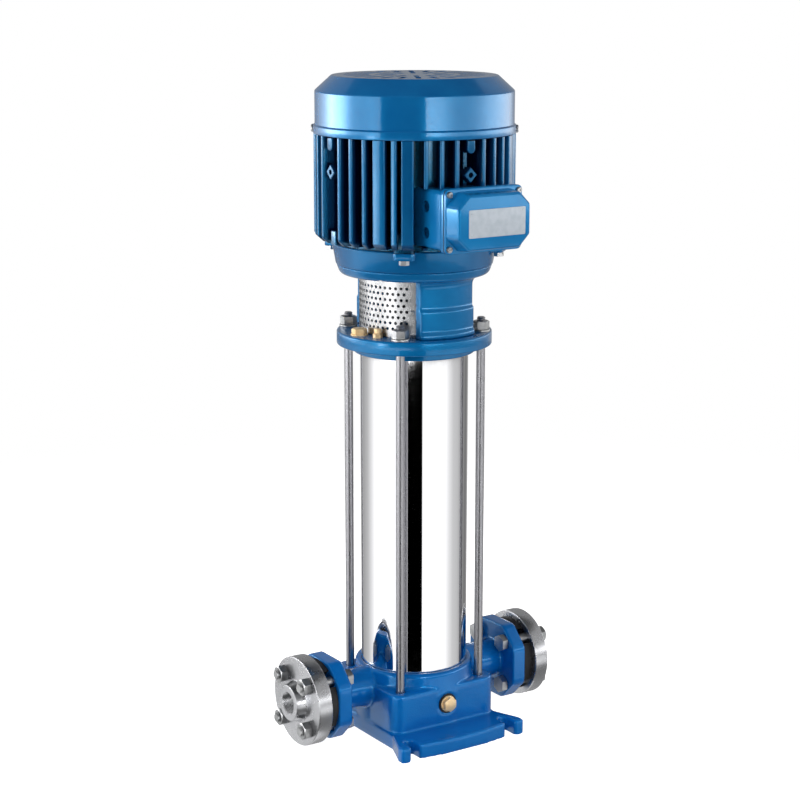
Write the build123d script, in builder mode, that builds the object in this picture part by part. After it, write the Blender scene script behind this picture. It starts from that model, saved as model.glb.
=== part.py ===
from build123d import *
import os
from math import cos, radians, sin

# Vertical multistage pump with its motor, on an in-line ported foot.
# Origin: centre of the foot's underside. +Z runs up the shaft, the ports lie along X with
# suction at -X, and the terminal box faces -Y. All lengths are millimetres.

# Foot and bowl
foot_thickness = 18.0
foot_half_width = 86.0
foot_half_depth = 108.0
waist_half_width = 73.0
slot_x = 67.0
slot_y = 91.5
slot_r = 6.5
pillar_half = 71.5
pillar_corner_r = 16.0
pillar_top = 65.0
bowl_r = 73.0
bowl_shoulder = 57.0
collar_r = 69.0
collar_top = 82.5
chamber_floor = 22.0
chamber_r = 42.0
stack_seat = 78.0
channel_floor = 46.0
channel_r = 58.5
drain_z = 44.5
drain_bore_r = 6.0

# Ports
port_z = 58.0
port_bore_r = 13.5
neck_r = 22.5
cast_flange_x = 115.0
cast_flange_thickness = 18.0
cast_flange_half = 46.5
cast_flange_cut = 24.0
cast_flange_corner_r = 12.0
gasket_thickness = 12.0
gasket_r = 45.0
gasket_scallop_r = 12.0
counter_flange_r = 52.5
counter_flange_thickness = 18.0
hub_r = 24.0
hub_reach = 11.7
thread_bore_r = 12.05
flange_bolt_r = 6.0
flange_bolt_pitch = 53.0
flange_bolt_reach = 13.0
bolt_head_height = 8.0
nut_height = 10.0
bolt_across_flats = 18.0

# Sleeve and tie rods
sleeve_r = 62.75
sleeve_wall = 2.0
sleeve_bottom = 79.0
sleeve_top = 470.0
seal_height = 3.0
rod_r = 5.0
rod_pitch = 111.0
rod_bottom = 35.0
rod_top = 499.0
rod_washer_r = 10.5
rod_washer_height = 2.5
rod_nut_across_flats = 17.0

# Pump head
head_bottom = 466.0
head_top = 482.0
head_r = 90.0
head_collar_r = 70.5
head_collar_bottom = 457.0
seal_bore_r = 22.0
duct_z = 477.0
duct_r = 2.0
priming_plug_x = -75.0
vent_x = -66.0
vent_y = -25.0
vent_stem_r = 2.0
vent_head_r = 4.2

# Stool and coupling guards
stool_r = 75.0
stool_inner_r = 68.0
stool_lower_r = 77.0
stool_foot_r = 79.0
column_half_width = 36.5
stool_flange_bottom = 548.5
stool_flange_r = 90.0
stool_flange_hole_r = 45.0
stool_top = 560.0
foot_ring_r = 62.4
foot_ring_height = 5.0
stool_screw_pitch_x = 39.0
stool_screw_pitch_y = 107.2
flange_screw_r = 78.0
flange_screw_angles = (30, 150, 210, 330)
guard_r = 63.7
guard_sheet = 1.0
guard_screw_z = 511.0
guard_start = 32.0
guard_screw_angles = (234.5, 305.5, 54.5, 125.5)

# Motor
bell_foot_r = 90.5
bell_top = 584.0
bell_r = 94.5
spigot_r = 72.0
spigot_top = 588.0
frame_bore_r = 80.0
frame_core_r = 88.0
fin_bottom = 588.0
fin_r = 114.0
frame_top = 708.0
fin_step = 9
rib_r = 115.0
corner_ribs = ((36.5, 14.0), (45.0, 6.5), (51.0, 20.0))
lug_boss_z = 669.5
lug_boss_r = 112.0
tab_bottom = 693.0
tab_width = 10.0
tab_r = 113.0
cowl_r = 113.4
cowl_bead_r = 115.4
cowl_inner_r = 112.0
cowl_bottom = 708.5
cowl_bead_top = 717.7
cowl_shoulder = 756.0
cowl_top_r = 94.4
cowl_top = 773.3
cowl_sheet = 1.5
cowl_screw_z = 713.0
ear_angles = (230, 310, 50, 130)
ear_bottom = 576.0
ear_width = 24.0
ear_inner_r = 82.0
ear_outer_r = 106.0
corner_boss_height = 22.0
ear_screw_place_r = 100.0
ear_screw_r = 3.0
ear_screw_depth = 14.0
cowl_screw_angles = (324, 54, 144)
cowl_screw_r = 2.5
core_bottom = 604.0
core_top = 690.0
winding_height = 14.0
rotor_bore_r = 16.0

# Terminal box
box_half_width = 49.0
box_bottom = 591.0
box_top = 656.0
box_front = 133.0
box_wall = 4.0
box_back = 92.0
lip_half_width = 51.0
lip_depth = 7.0
cover_front = 158.0
cover_corner = 15.0
cover_draft = 6.0
cover_wall = 4.5
cover_screw_pitch_x = 92.0
cover_screw_pitch_z = 59.0
cover_screw_r = 3.6
gasket_sheet = 1.5
box_clearance = 0.2
box_sector = 31.5
entry_r = 6.5
entry_y = -97.0
entry_heights = (608.0, 637.0)
plate_x = 3.0
plate_z = 622.5
plate_width = 75.0
plate_height = 31.0

# Shaft line
pump_shaft_r = 8.0
pump_shaft_bottom = 40.0
pump_shaft_top = 514.0
motor_shaft_r = 12.0
running_clearance = 0.05
coupling_bottom = 492.0
coupling_top = 540.0
coupling_step = 517.0
coupling_bolt_pitch_x = 50.0
coupling_bolt_pitch_z = 30.0
coupling_bolt_r = 3.0

# Stages
stage_count = 6
stage_pitch = 54.0
stack_bottom = 84.0
stage_r = 52.0
stage_wall = 2.0
eye_bore_r = 25.0
impeller_r = 44.0
vane_count = 5
stack_top = stack_bottom + stage_count * stage_pitch

port_sides = (-1, 1)
ear_mid_r = (ear_inner_r + ear_outer_r) / 2
box_mid_z = (box_bottom + box_top) / 2
box_height = box_top - box_bottom
gasket_x = cast_flange_x + cast_flange_thickness
counter_flange_x = gasket_x + gasket_thickness
flange_face_x = counter_flange_x + counter_flange_thickness
coupling_mid_z = (coupling_bottom + coupling_top) / 2
lip_face_y = -box_front - gasket_sheet
cover_base_y = lip_face_y - 3


def polar(radius, angle, z=None):
    """Point at a radius and an angle in degrees, with a height if one is given."""
    point = (radius * cos(radians(angle)), radius * sin(radians(angle)))
    return point if z is None else (*point, z)


def radial_plane(radius, angle, z):
    """Plane that faces outward at a radius, with its x along the tangent and its y up."""
    return Plane(
        origin=polar(radius, angle, z),
        x_dir=(*polar(1, angle + 90), 0),
        z_dir=(*polar(1, angle), 0),
    )


def side_plane(side, x):
    """Plane across the port axis, at x on one side, facing away from the pump."""
    return Plane(origin=(side * x, 0, port_z), x_dir=(0, side, 0), z_dir=(side, 0, 0))


def front_plane(y, z):
    """Plane that faces the front, with x to the right."""
    return Plane(origin=(0, y, z), x_dir=(1, 0, 0), z_dir=(0, -1, 0))


def curved_vane(inner_r, outer_r, centre_x, arc_r, thickness):
    """Vane that follows a circle set off from the shaft, between two radii, on one side only."""
    with BuildSketch() as vane:
        with Locations((centre_x, 0)):
            Circle(arc_r + thickness / 2)
            Circle(arc_r - thickness / 2, mode=Mode.SUBTRACT)
        Circle(outer_r, mode=Mode.INTERSECT)
        Circle(inner_r, mode=Mode.SUBTRACT)
        with Locations((0, outer_r)):
            Rectangle(2 * outer_r, 2 * outer_r, mode=Mode.INTERSECT)
    return vane.sketch


# ---------------------------------------------------------------- pump, outside

with BuildPart() as base_casting:
    # Foot plate, waisted at the sides, with bolt slots open to the front and the back.
    with BuildSketch() as foot_outline:
        with BuildLine():
            Polyline(
                (slot_x - slot_r, -106),
                (slot_x - slot_r, -slot_y),
            )
            ThreePointArc(
                (slot_x - slot_r, -slot_y),
                (slot_x, -slot_y + slot_r),
                (slot_x + slot_r, -slot_y),
            )
            Polyline(
                (slot_x + slot_r, -slot_y),
                (slot_x + slot_r, -foot_half_depth),
                (foot_half_width, -foot_half_depth),
                (foot_half_width, -98),
                (waist_half_width, -66),
                (waist_half_width, 0),
                (0, 0),
                (0, -foot_half_depth - 3),
            )
            ThreePointArc((0, -foot_half_depth - 3), (30, -110), (slot_x - slot_r, -106))
        make_face()
        fillet(foot_outline.vertices().filter_by(lambda v: v.Y < -97 and v.X > 1), 3)
        mirror(about=Plane.XZ)
        mirror(about=Plane.YZ)
    extrude(amount=foot_thickness)
    fillet(base_casting.faces().sort_by(Axis.Z)[-1].outer_wire().edges(), 2)
    # Pillars for the tie rods, one at each corner of a rounded square.
    with BuildSketch(Plane.XY.offset(foot_thickness - 3)):
        RectangleRounded(2 * pillar_half, 2 * pillar_half, pillar_corner_r)
    extrude(amount=pillar_top - foot_thickness + 3)
    fillet(base_casting.faces().sort_by(Axis.Z)[-1].outer_wire().edges(), 2)
    # Bowl that draws in to the collar round the sleeve.
    with BuildSketch(Plane.XZ):
        Polygon(
            (0, 10), (bowl_r, 10), (bowl_r, bowl_shoulder), (collar_r + 0.8, collar_top - 2),
            (collar_r - 1, collar_top), (0, collar_top), align=None,
        )
    revolve(axis=Axis.Z)
    # Port necks and their square flanges with cut corners.
    for side in port_sides:
        with BuildSketch(side_plane(side, 50)):
            Circle(neck_r + 4)
        with BuildSketch(side_plane(side, 85)):
            Circle(neck_r)
        loft()
        with BuildSketch(side_plane(side, 84)):
            Circle(neck_r)
        extrude(amount=cast_flange_x - 84)
        with BuildSketch(side_plane(side, cast_flange_x)) as cast_flange:
            Rectangle(2 * cast_flange_half, 2 * cast_flange_half)
            chamfer(cast_flange.vertices(), cast_flange_cut)
            fillet(cast_flange.vertices(), cast_flange_corner_r)
            with GridLocations(flange_bolt_pitch, flange_bolt_pitch, 2, 2):
                Circle(flange_bolt_r + 0.5, mode=Mode.SUBTRACT)
        extrude(amount=cast_flange_thickness)
    # Suction chamber, seat of the stage stack, ring space and sleeve groove.
    with BuildSketch(Plane.XZ):
        Polygon(
            (0, chamber_floor), (chamber_r, chamber_floor), (chamber_r, stack_seat),
            (stage_r, stack_seat), (stage_r, 79.5), (sleeve_r - sleeve_wall, 79.5),
            (sleeve_r - sleeve_wall, sleeve_bottom - seal_height),
            (sleeve_r, sleeve_bottom - seal_height), (sleeve_r, collar_top + 15),
            (0, collar_top + 15), align=None,
        )
    revolve(axis=Axis.Z, mode=Mode.SUBTRACT)
    # Discharge channel: half a ring, on the outlet side only.
    with BuildSketch(Plane(origin=(0, 0, 0), x_dir=(0, -1, 0), z_dir=(-1, 0, 0))):
        Polygon(
            (stage_r, channel_floor), (channel_r, channel_floor), (channel_r, 80), (stage_r, 80),
            align=None,
        )
    revolve(axis=Axis.Z, revolution_arc=180, mode=Mode.SUBTRACT)
    with BuildSketch(side_plane(-1, gasket_x)):
        Circle(port_bore_r)
    extrude(amount=-(gasket_x - 38), mode=Mode.SUBTRACT)
    with BuildSketch(side_plane(1, gasket_x)):
        Circle(port_bore_r)
    extrude(amount=-(gasket_x - 55), mode=Mode.SUBTRACT)
    # Tapped holes of the tie rods, and the drain hole with its spot face.
    with BuildSketch(Plane.XY.offset(collar_top + 1)):
        with GridLocations(rod_pitch, rod_pitch, 2, 2):
            Circle(rod_r)
    extrude(amount=-(collar_top + 1 - rod_bottom), mode=Mode.SUBTRACT)
    with BuildSketch(front_plane(-bowl_r - 1, drain_z)):
        Circle(12.5)
    extrude(amount=-2.5, mode=Mode.SUBTRACT)
    with BuildSketch(front_plane(-bowl_r, drain_z)):
        Circle(drain_bore_r)
    extrude(amount=-33, mode=Mode.SUBTRACT)
base_casting.part.label = "base_casting"

with BuildPart() as drain_seal:
    with BuildSketch(front_plane(-71.5, drain_z)):
        Circle(11)
        Circle(drain_bore_r, mode=Mode.SUBTRACT)
    extrude(amount=1.5)
drain_seal.part.label = "drain_seal"

with BuildPart() as drain_plug:
    with BuildSketch(front_plane(-73, drain_z)):
        Circle(10.8)
    extrude(amount=1.5)
    with BuildSketch(front_plane(-74.5, drain_z)):
        RegularPolygon(radius=9.5, side_count=6)
    extrude(amount=5)
    with BuildSketch(front_plane(-73, drain_z)):
        Circle(drain_bore_r)
    extrude(amount=-16)
drain_plug.part.label = "drain_plug"


def port_gasket(side):
    """Ring gasket whose edge is scalloped clear of the flange bolts."""
    with BuildPart() as gasket:
        with BuildSketch(side_plane(side, gasket_x)):
            Circle(gasket_r)
            Circle(port_bore_r, mode=Mode.SUBTRACT)
            with GridLocations(flange_bolt_pitch, flange_bolt_pitch, 2, 2):
                Circle(gasket_scallop_r, mode=Mode.SUBTRACT)
        extrude(amount=gasket_thickness)
    return gasket


def counter_flange(side):
    """Round loose flange with a raised, internally threaded hub."""
    with BuildPart() as flange:
        with BuildSketch(side_plane(side, counter_flange_x)):
            Circle(counter_flange_r)
        extrude(amount=counter_flange_thickness)
        chamfer(flange.edges().filter_by(GeomType.CIRCLE), 1)
        with BuildSketch(side_plane(side, flange_face_x - 1)):
            Circle(hub_r)
        extrude(amount=hub_reach + 1, taper=14)
        with BuildSketch(side_plane(side, counter_flange_x)):
            Circle(thread_bore_r)
            with GridLocations(flange_bolt_pitch, flange_bolt_pitch, 2, 2):
                Circle(flange_bolt_r + 0.5)
        extrude(amount=counter_flange_thickness + hub_reach, mode=Mode.SUBTRACT)
    return flange


suction_gasket = port_gasket(-1)
suction_gasket.part.label = "suction_gasket"
discharge_gasket = port_gasket(1)
discharge_gasket.part.label = "discharge_gasket"
suction_flange = counter_flange(-1)
suction_flange.part.label = "suction_flange"
discharge_flange = counter_flange(1)
discharge_flange.part.label = "discharge_flange"

with BuildPart() as flange_bolts:
    for side in port_sides:
        with BuildSketch(side_plane(side, cast_flange_x - bolt_head_height)):
            with GridLocations(flange_bolt_pitch, flange_bolt_pitch, 2, 2):
                RegularPolygon(radius=bolt_across_flats / 2, side_count=6, major_radius=False)
        extrude(amount=bolt_head_height)
        with BuildSketch(side_plane(side, cast_flange_x)):
            with GridLocations(flange_bolt_pitch, flange_bolt_pitch, 2, 2):
                Circle(flange_bolt_r)
        extrude(amount=flange_face_x + flange_bolt_reach - cast_flange_x)
flange_bolts.part.label = "flange_bolts"

with BuildPart() as flange_nuts:
    for side in port_sides:
        with BuildSketch(side_plane(side, flange_face_x)):
            with GridLocations(flange_bolt_pitch, flange_bolt_pitch, 2, 2):
                RegularPolygon(radius=bolt_across_flats / 2, side_count=6, major_radius=False)
                Circle(flange_bolt_r, mode=Mode.SUBTRACT)
        extrude(amount=nut_height)
flange_nuts.part.label = "flange_nuts"

with BuildPart() as outer_sleeve:
    with BuildSketch(Plane.XY.offset(sleeve_bottom)):
        Circle(sleeve_r)
        Circle(sleeve_r - sleeve_wall, mode=Mode.SUBTRACT)
    extrude(amount=sleeve_top - sleeve_bottom)
outer_sleeve.part.label = "outer_sleeve"

with BuildPart() as sleeve_seals:
    for low in (sleeve_bottom - seal_height, sleeve_top):
        with BuildSketch(Plane.XY.offset(low)):
            Circle(sleeve_r)
            Circle(sleeve_r - sleeve_wall, mode=Mode.SUBTRACT)
        extrude(amount=seal_height)
sleeve_seals.part.label = "sleeve_seals"

with BuildPart() as tie_rods:
    with BuildSketch(Plane.XY.offset(rod_bottom)):
        with GridLocations(rod_pitch, rod_pitch, 2, 2):
            Circle(rod_r)
    extrude(amount=rod_top - rod_bottom)
tie_rods.part.label = "tie_rods"

with BuildPart() as tie_rod_washers:
    with BuildSketch(Plane.XY.offset(head_top)):
        with GridLocations(rod_pitch, rod_pitch, 2, 2):
            Circle(rod_washer_r)
            Circle(rod_r, mode=Mode.SUBTRACT)
    extrude(amount=rod_washer_height)
tie_rod_washers.part.label = "tie_rod_washers"

with BuildPart() as tie_rod_nuts:
    with BuildSketch(Plane.XY.offset(head_top + rod_washer_height)):
        with GridLocations(rod_pitch, rod_pitch, 2, 2):
            RegularPolygon(radius=rod_nut_across_flats / 2, side_count=6, major_radius=False)
            Circle(rod_r, mode=Mode.SUBTRACT)
    extrude(amount=nut_height)
tie_rod_nuts.part.label = "tie_rod_nuts"

with BuildPart() as pump_head:
    with BuildSketch(Plane.XZ):
        Polygon(
            (0, head_bottom), (sleeve_r - sleeve_wall, head_bottom),
            (sleeve_r - sleeve_wall, sleeve_top + seal_height),
            (sleeve_r, sleeve_top + seal_height), (sleeve_r, head_collar_bottom),
            (head_collar_r, head_collar_bottom), (head_collar_r, head_bottom),
            (head_r - 2, head_bottom), (head_r, head_bottom + 2), (head_r, head_top - 2),
            (head_r - 2, head_top), (0, head_top), align=None,
        )
    revolve(axis=Axis.Z)
    # Seal housing: the seat goes in from below, against a lip.
    with BuildSketch(Plane.XY.offset(head_bottom)):
        Circle(seal_bore_r)
    extrude(amount=10, mode=Mode.SUBTRACT)
    with BuildSketch(Plane.XY.offset(head_bottom)):
        Circle(14)
        with GridLocations(rod_pitch, rod_pitch, 2, 2):
            Circle(rod_r + 0.5)
    extrude(amount=head_top - head_bottom, mode=Mode.SUBTRACT)
    # Priming and vent holes, each joined to the ring space by a cross duct.
    for place, hole_r in (((priming_plug_x, 0), 8), ((vent_x, vent_y), 3.5)):
        with BuildSketch(Plane.XY.offset(head_top)):
            with Locations(place):
                Circle(hole_r)
        extrude(amount=-7, mode=Mode.SUBTRACT)
        direction = Vector(*place, 0).normalized()
        with BuildSketch(Plane(origin=direction * 56 + Vector(0, 0, duct_z), z_dir=direction)):
            Circle(duct_r)
        extrude(amount=10, mode=Mode.SUBTRACT)
        with BuildSketch(Plane.XY.offset(head_bottom)):
            with Locations((direction.X * 56, direction.Y * 56)):
                Circle(duct_r)
        extrude(amount=duct_z - head_bottom, mode=Mode.SUBTRACT)
    with BuildSketch(Plane.XY.offset(head_top)):
        with GridLocations(stool_screw_pitch_x, stool_screw_pitch_y, 2, 2):
            Circle(3)
    extrude(amount=-12, mode=Mode.SUBTRACT)
pump_head.part.label = "pump_head"

with BuildPart() as priming_plug:
    with BuildSketch(Plane.XY.offset(head_top)):
        with Locations((priming_plug_x, 0)):
            Circle(10)
    extrude(amount=1.5)
    with BuildSketch(Plane.XY.offset(head_top + 1.5)):
        with Locations((priming_plug_x, 0)):
            RegularPolygon(radius=9, side_count=6)
    extrude(amount=6.5)
    with BuildSketch(Plane.XY.offset(head_top)):
        with Locations((priming_plug_x, 0)):
            Circle(8)
    extrude(amount=-2.5)
priming_plug.part.label = "priming_plug"

with BuildPart() as vent_seat:
    with BuildSketch(Plane.XY.offset(head_top)):
        with Locations((vent_x, vent_y)):
            RegularPolygon(radius=5.6, side_count=6)
            Circle(vent_stem_r + running_clearance, mode=Mode.SUBTRACT)
    extrude(amount=5)
    with BuildSketch(Plane.XY.offset(head_top)):
        with Locations((vent_x, vent_y)):
            Circle(3.5)
            Circle(vent_stem_r + running_clearance, mode=Mode.SUBTRACT)
    extrude(amount=-2.5)
vent_seat.part.label = "vent_seat"

with BuildPart() as vent_screw:
    with BuildSketch(Plane.XY.offset(head_top - 2)):
        with Locations((vent_x, vent_y)):
            Circle(vent_stem_r)
    extrude(amount=7.3)
    with BuildSketch(Plane.XY.offset(head_top + 5.3)):
        with Locations((vent_x, vent_y)):
            Circle(vent_head_r)
            Rectangle(9, 1.2, mode=Mode.SUBTRACT)
    extrude(amount=5)
    with BuildSketch(Plane.XY.offset(head_top + 5.3)):
        with Locations((vent_x, vent_y)):
            Circle(vent_head_r)
    extrude(amount=3)
vent_screw.part.label = "vent_screw"

# ---------------------------------------------------------------- stool and guards

with BuildPart() as motor_stool:
    # Bell-mouthed wall, cut back to a front and a rear column.
    with BuildSketch(Plane.XZ):
        with BuildLine():
            Polyline(
                (stool_r, stool_flange_bottom - 8), (stool_r, 515.5), (stool_lower_r, 514.5),
                (stool_lower_r, 490), (stool_foot_r, 488), (stool_foot_r, head_top),
                (stool_inner_r, head_top), (stool_inner_r, stool_flange_bottom + 1),
                (stool_r + 8, stool_flange_bottom + 1), (stool_r + 8, stool_flange_bottom),
            )
            ThreePointArc(
                (stool_r + 8, stool_flange_bottom),
                (stool_r + 2.3, stool_flange_bottom - 2.3),
                (stool_r, stool_flange_bottom - 8),
            )
        make_face()
    revolve(axis=Axis.Z)
    for side in port_sides:
        with BuildSketch(Plane.XY.offset(head_top)):
            with Locations((side * (column_half_width + 50), 0)):
                Rectangle(100, 200)
        extrude(amount=stool_flange_bottom + 1 - head_top, mode=Mode.SUBTRACT)
    # Foot ring and top flange.
    with BuildSketch(Plane.XY.offset(head_top)):
        Circle(foot_ring_r)
        Circle(52, mode=Mode.SUBTRACT)
    extrude(amount=foot_ring_height)
    for side in port_sides:
        with BuildSketch(Plane.XY.offset(head_top)):
            with Locations((0, side * 65)):
                Rectangle(60, 14)
        extrude(amount=foot_ring_height)
    with BuildSketch(Plane.XZ):
        with BuildLine():
            Polyline(
                (stool_flange_r - 10, stool_flange_bottom),
                (stool_flange_hole_r, stool_flange_bottom), (stool_flange_hole_r, stool_top),
                (stool_flange_r, stool_top), (stool_flange_r - 2.5, stool_flange_bottom + 5),
            )
            ThreePointArc(
                (stool_flange_r - 2.5, stool_flange_bottom + 5),
                (stool_flange_r - 4.7, stool_flange_bottom + 1.6),
                (stool_flange_r - 10, stool_flange_bottom),
            )
        make_face()
    revolve(axis=Axis.Z)
    # Lugs that carry the guards' edges, beside each column.
    for angle in (270 - guard_start, 270 + guard_start, 90 - guard_start, 90 + guard_start):
        outward = 1 if angle in (270 + guard_start, 90 + guard_start) else -1
        for turn, inner, outer in ((-5 * outward, 58, 70), (3 * outward, 58, 62.5)):
            with BuildSketch(radial_plane(inner, angle + turn, guard_screw_z)):
                Rectangle(9, 16)
            extrude(amount=outer - inner)
    # Screw holes at the foot ring and the top flange.
    with BuildSketch(Plane.XY.offset(head_top)):
        with GridLocations(stool_screw_pitch_x, stool_screw_pitch_y, 2, 2):
            Circle(3)
    extrude(amount=foot_ring_height, mode=Mode.SUBTRACT)
    with BuildSketch(Plane.XY.offset(stool_flange_bottom)):
        with Locations(*[polar(flange_screw_r, a) for a in flange_screw_angles]):
            Circle(6.7)
    extrude(amount=8.5, mode=Mode.SUBTRACT)
    with BuildSketch(Plane.XY.offset(stool_flange_bottom)):
        with Locations(*[polar(flange_screw_r, a) for a in flange_screw_angles]):
            Circle(4)
    extrude(amount=stool_top - stool_flange_bottom, mode=Mode.SUBTRACT)
motor_stool.part.label = "motor_stool"

with BuildPart() as stool_screws:
    with BuildSketch(Plane.XY.offset(head_top + foot_ring_height)):
        with GridLocations(stool_screw_pitch_x, stool_screw_pitch_y, 2, 2):
            Circle(5)
            RegularPolygon(radius=2.8, side_count=6, mode=Mode.SUBTRACT)
    extrude(amount=6)
    with BuildSketch(Plane.XY.offset(head_top - 12)):
        with GridLocations(stool_screw_pitch_x, stool_screw_pitch_y, 2, 2):
            Circle(3)
    extrude(amount=18)
stool_screws.part.label = "stool_screws"

with BuildPart() as motor_flange_screws:
    with BuildSketch(Plane.XY.offset(stool_flange_bottom + 0.5)):
        with Locations(*[polar(flange_screw_r, a) for a in flange_screw_angles]):
            Circle(6.5)
            RegularPolygon(radius=3.5, side_count=6, mode=Mode.SUBTRACT)
    extrude(amount=8)
    with BuildSketch(Plane.XY.offset(stool_flange_bottom + 4.5)):
        with Locations(*[polar(flange_screw_r, a) for a in flange_screw_angles]):
            Circle(4)
    extrude(amount=19)
motor_flange_screws.part.label = "motor_flange_screws"


def coupling_guard(start_angle):
    """Curved guard sheet that spans one window of the stool."""
    with BuildPart() as guard:
        with BuildSketch(
            Plane(
                origin=(0, 0, 0),
                x_dir=(*polar(1, start_angle), 0),
                z_dir=(*polar(1, start_angle - 90), 0),
            )
        ):
            Polygon(
                (guard_r - guard_sheet, head_top + 0.5), (guard_r, head_top + 0.5),
                (guard_r, stool_flange_bottom - 0.5),
                (guard_r - guard_sheet, stool_flange_bottom - 0.5), align=None,
            )
        revolve(axis=Axis.Z, revolution_arc=180 - 2 * guard_start)
    return guard


guard_left = coupling_guard(90 + guard_start)
guard_left.part.label = "guard_left"
guard_right = coupling_guard(270 + guard_start)
guard_right.part.label = "guard_right"

with BuildPart() as guard_screws:
    for angle in guard_screw_angles:
        with BuildSketch(radial_plane(guard_r, angle, guard_screw_z)):
            Circle(3)
        extrude(amount=2)
guard_screws.part.label = "guard_screws"

# ---------------------------------------------------------------- motor

with BuildPart() as motor_end_bell:
    with BuildSketch(Plane.XZ):
        Polygon(
            (14.5, stool_top), (bell_foot_r, stool_top), (bell_r, bell_top - 2),
            (bell_r - 1, bell_top), (frame_bore_r, bell_top), (frame_bore_r, spigot_top),
            (spigot_r, spigot_top), (spigot_r, 572), (34, 572), (34, 580), (26, 580), (26, 563),
            (14.5, 563), align=None,
        )
    revolve(axis=Axis.Z)
    with BuildSketch(Plane.XY.offset(stool_top)):
        with Locations(*[polar(flange_screw_r, a) for a in flange_screw_angles]):
            Circle(4)
    extrude(amount=12, mode=Mode.SUBTRACT)
    # Ears at the four corners that take the frame screws.
    for angle in ear_angles:
        with BuildSketch(Plane.XY.offset(ear_bottom)):
            with Locations(Location(polar(ear_mid_r, angle, 0), (0, 0, angle))):
                RectangleRounded(ear_outer_r - ear_inner_r, ear_width, 3)
        extrude(amount=bell_top - ear_bottom)
    with BuildSketch(Plane.XY.offset(ear_bottom)):
        with Locations(*[polar(ear_screw_place_r, a) for a in ear_angles]):
            Circle(ear_screw_r)
    extrude(amount=bell_top - ear_bottom, mode=Mode.SUBTRACT)
motor_end_bell.part.label = "motor_end_bell"

with BuildSketch() as fin_section:
    Polygon(
        (frame_core_r - 2, -4), (frame_core_r - 2, 4), (fin_r, 3), (fin_r, -3), align=None,
    )
with BuildPart() as motor_frame:
    # Core tube, with fins every nine degrees and a group of ribs at each corner.
    with BuildSketch(Plane.XY.offset(fin_bottom)):
        Circle(frame_core_r)
        for angle in range(0, 360, fin_step):
            if angle % 90 not in (0, 36, 45, 54):
                with Locations(Location((0, 0, 0), (0, 0, angle))):
                    add(fin_section.sketch)
        for quarter in (0, 90, 180, 270):
            for rib_angle, rib_width in corner_ribs:
                angle = quarter + rib_angle
                with Locations(Location(polar(rib_r - 14, angle, 0), (0, 0, angle))):
                    Rectangle(28, rib_width)
    extrude(amount=frame_top - fin_bottom)
    with BuildSketch(Plane.XY.offset(bell_top)):
        Circle(frame_core_r)
    extrude(amount=fin_bottom - bell_top)
    # Fins are cut back on a slope at the drive end.
    with BuildSketch(Plane.XZ):
        Polygon((106, 587), (119, 587), (119, 598.4), align=None)
    revolve(axis=Axis.Z, mode=Mode.SUBTRACT)
    # Lug columns on the four sides: a low rib, a tab under the cowl, a boss and a foot lug.
    for angle in (0, 90, 180, 270):
        with BuildSketch(Plane.XY.offset(fin_bottom)):
            with Locations(Location(polar(94, angle, 0), (0, 0, angle))):
                Rectangle(14, 6)
        extrude(amount=frame_top - fin_bottom)
        with BuildSketch(radial_plane(frame_core_r - 1, angle, frame_top)):
            with Locations((0, (tab_bottom + tab_width / 2 - frame_top) / 2)):
                Rectangle(tab_width, frame_top - tab_bottom - tab_width / 2)
            with Locations((0, tab_bottom + tab_width / 2 - frame_top)):
                Circle(tab_width / 2)
        extrude(amount=tab_r - frame_core_r + 1)
        with BuildSketch(Plane.XY.offset(fin_bottom)):
            with Locations(Location(polar(98, angle, 0), (0, 0, angle))):
                Rectangle(22, 11)
        extrude(amount=16)
        with BuildSketch(radial_plane(frame_core_r - 1, angle, lug_boss_z)):
            with Locations(Location((0, 0, 0), (0, 0, 45))):
                Rectangle(12, 12)
        extrude(amount=lug_boss_r - frame_core_r + 1)
        with BuildSketch(radial_plane(lug_boss_r, angle, lug_boss_z)):
            Circle(3)
        extrude(amount=-6, mode=Mode.SUBTRACT)
    # Corner bosses above the ears of the bell.
    for angle in ear_angles:
        with BuildSketch(Plane.XY.offset(bell_top)):
            with Locations(Location(polar(ear_mid_r, angle, 0), (0, 0, angle))):
                Rectangle(ear_outer_r - ear_inner_r, ear_width - 2)
        extrude(amount=corner_boss_height)
    with BuildSketch(Plane.XY.offset(bell_top)):
        with Locations(*[polar(ear_screw_place_r, a) for a in ear_angles]):
            Circle(ear_screw_r)
    extrude(amount=ear_screw_depth, mode=Mode.SUBTRACT)
    with BuildSketch(Plane.XY.offset(bell_top)):
        Circle(frame_bore_r)
    extrude(amount=frame_top - bell_top, mode=Mode.SUBTRACT)
    # Fins make room for the terminal box.
    with BuildSketch(Plane.XY.offset(box_bottom - box_clearance)) as box_space:
        Polygon(
            (0, 0), polar(160, 270 - box_sector), polar(160, 270 + box_sector), align=None,
        )
        with Locations((0, -100)):
            Rectangle(2 * (box_half_width + box_clearance), 120)
        Circle(frame_core_r, mode=Mode.SUBTRACT)
    extrude(amount=box_height + 2 * box_clearance, mode=Mode.SUBTRACT)
motor_frame.part.label = "motor_frame"

with BuildPart() as frame_screws:
    with BuildSketch(Plane.XY.offset(ear_bottom - 5)):
        with Locations(*[polar(ear_screw_place_r, a) for a in ear_angles]):
            RegularPolygon(radius=5, side_count=6, major_radius=False)
    extrude(amount=5)
    with BuildSketch(Plane.XY.offset(ear_bottom)):
        with Locations(*[polar(ear_screw_place_r, a) for a in ear_angles]):
            Circle(ear_screw_r)
    extrude(amount=bell_top + ear_screw_depth - ear_bottom)
frame_screws.part.label = "frame_screws"

with BuildPart() as stator_core:
    with BuildSketch(Plane.XY.offset(core_bottom)):
        Circle(frame_bore_r)
        Circle(55, mode=Mode.SUBTRACT)
    extrude(amount=core_top - core_bottom)
stator_core.part.label = "stator_core"

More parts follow.
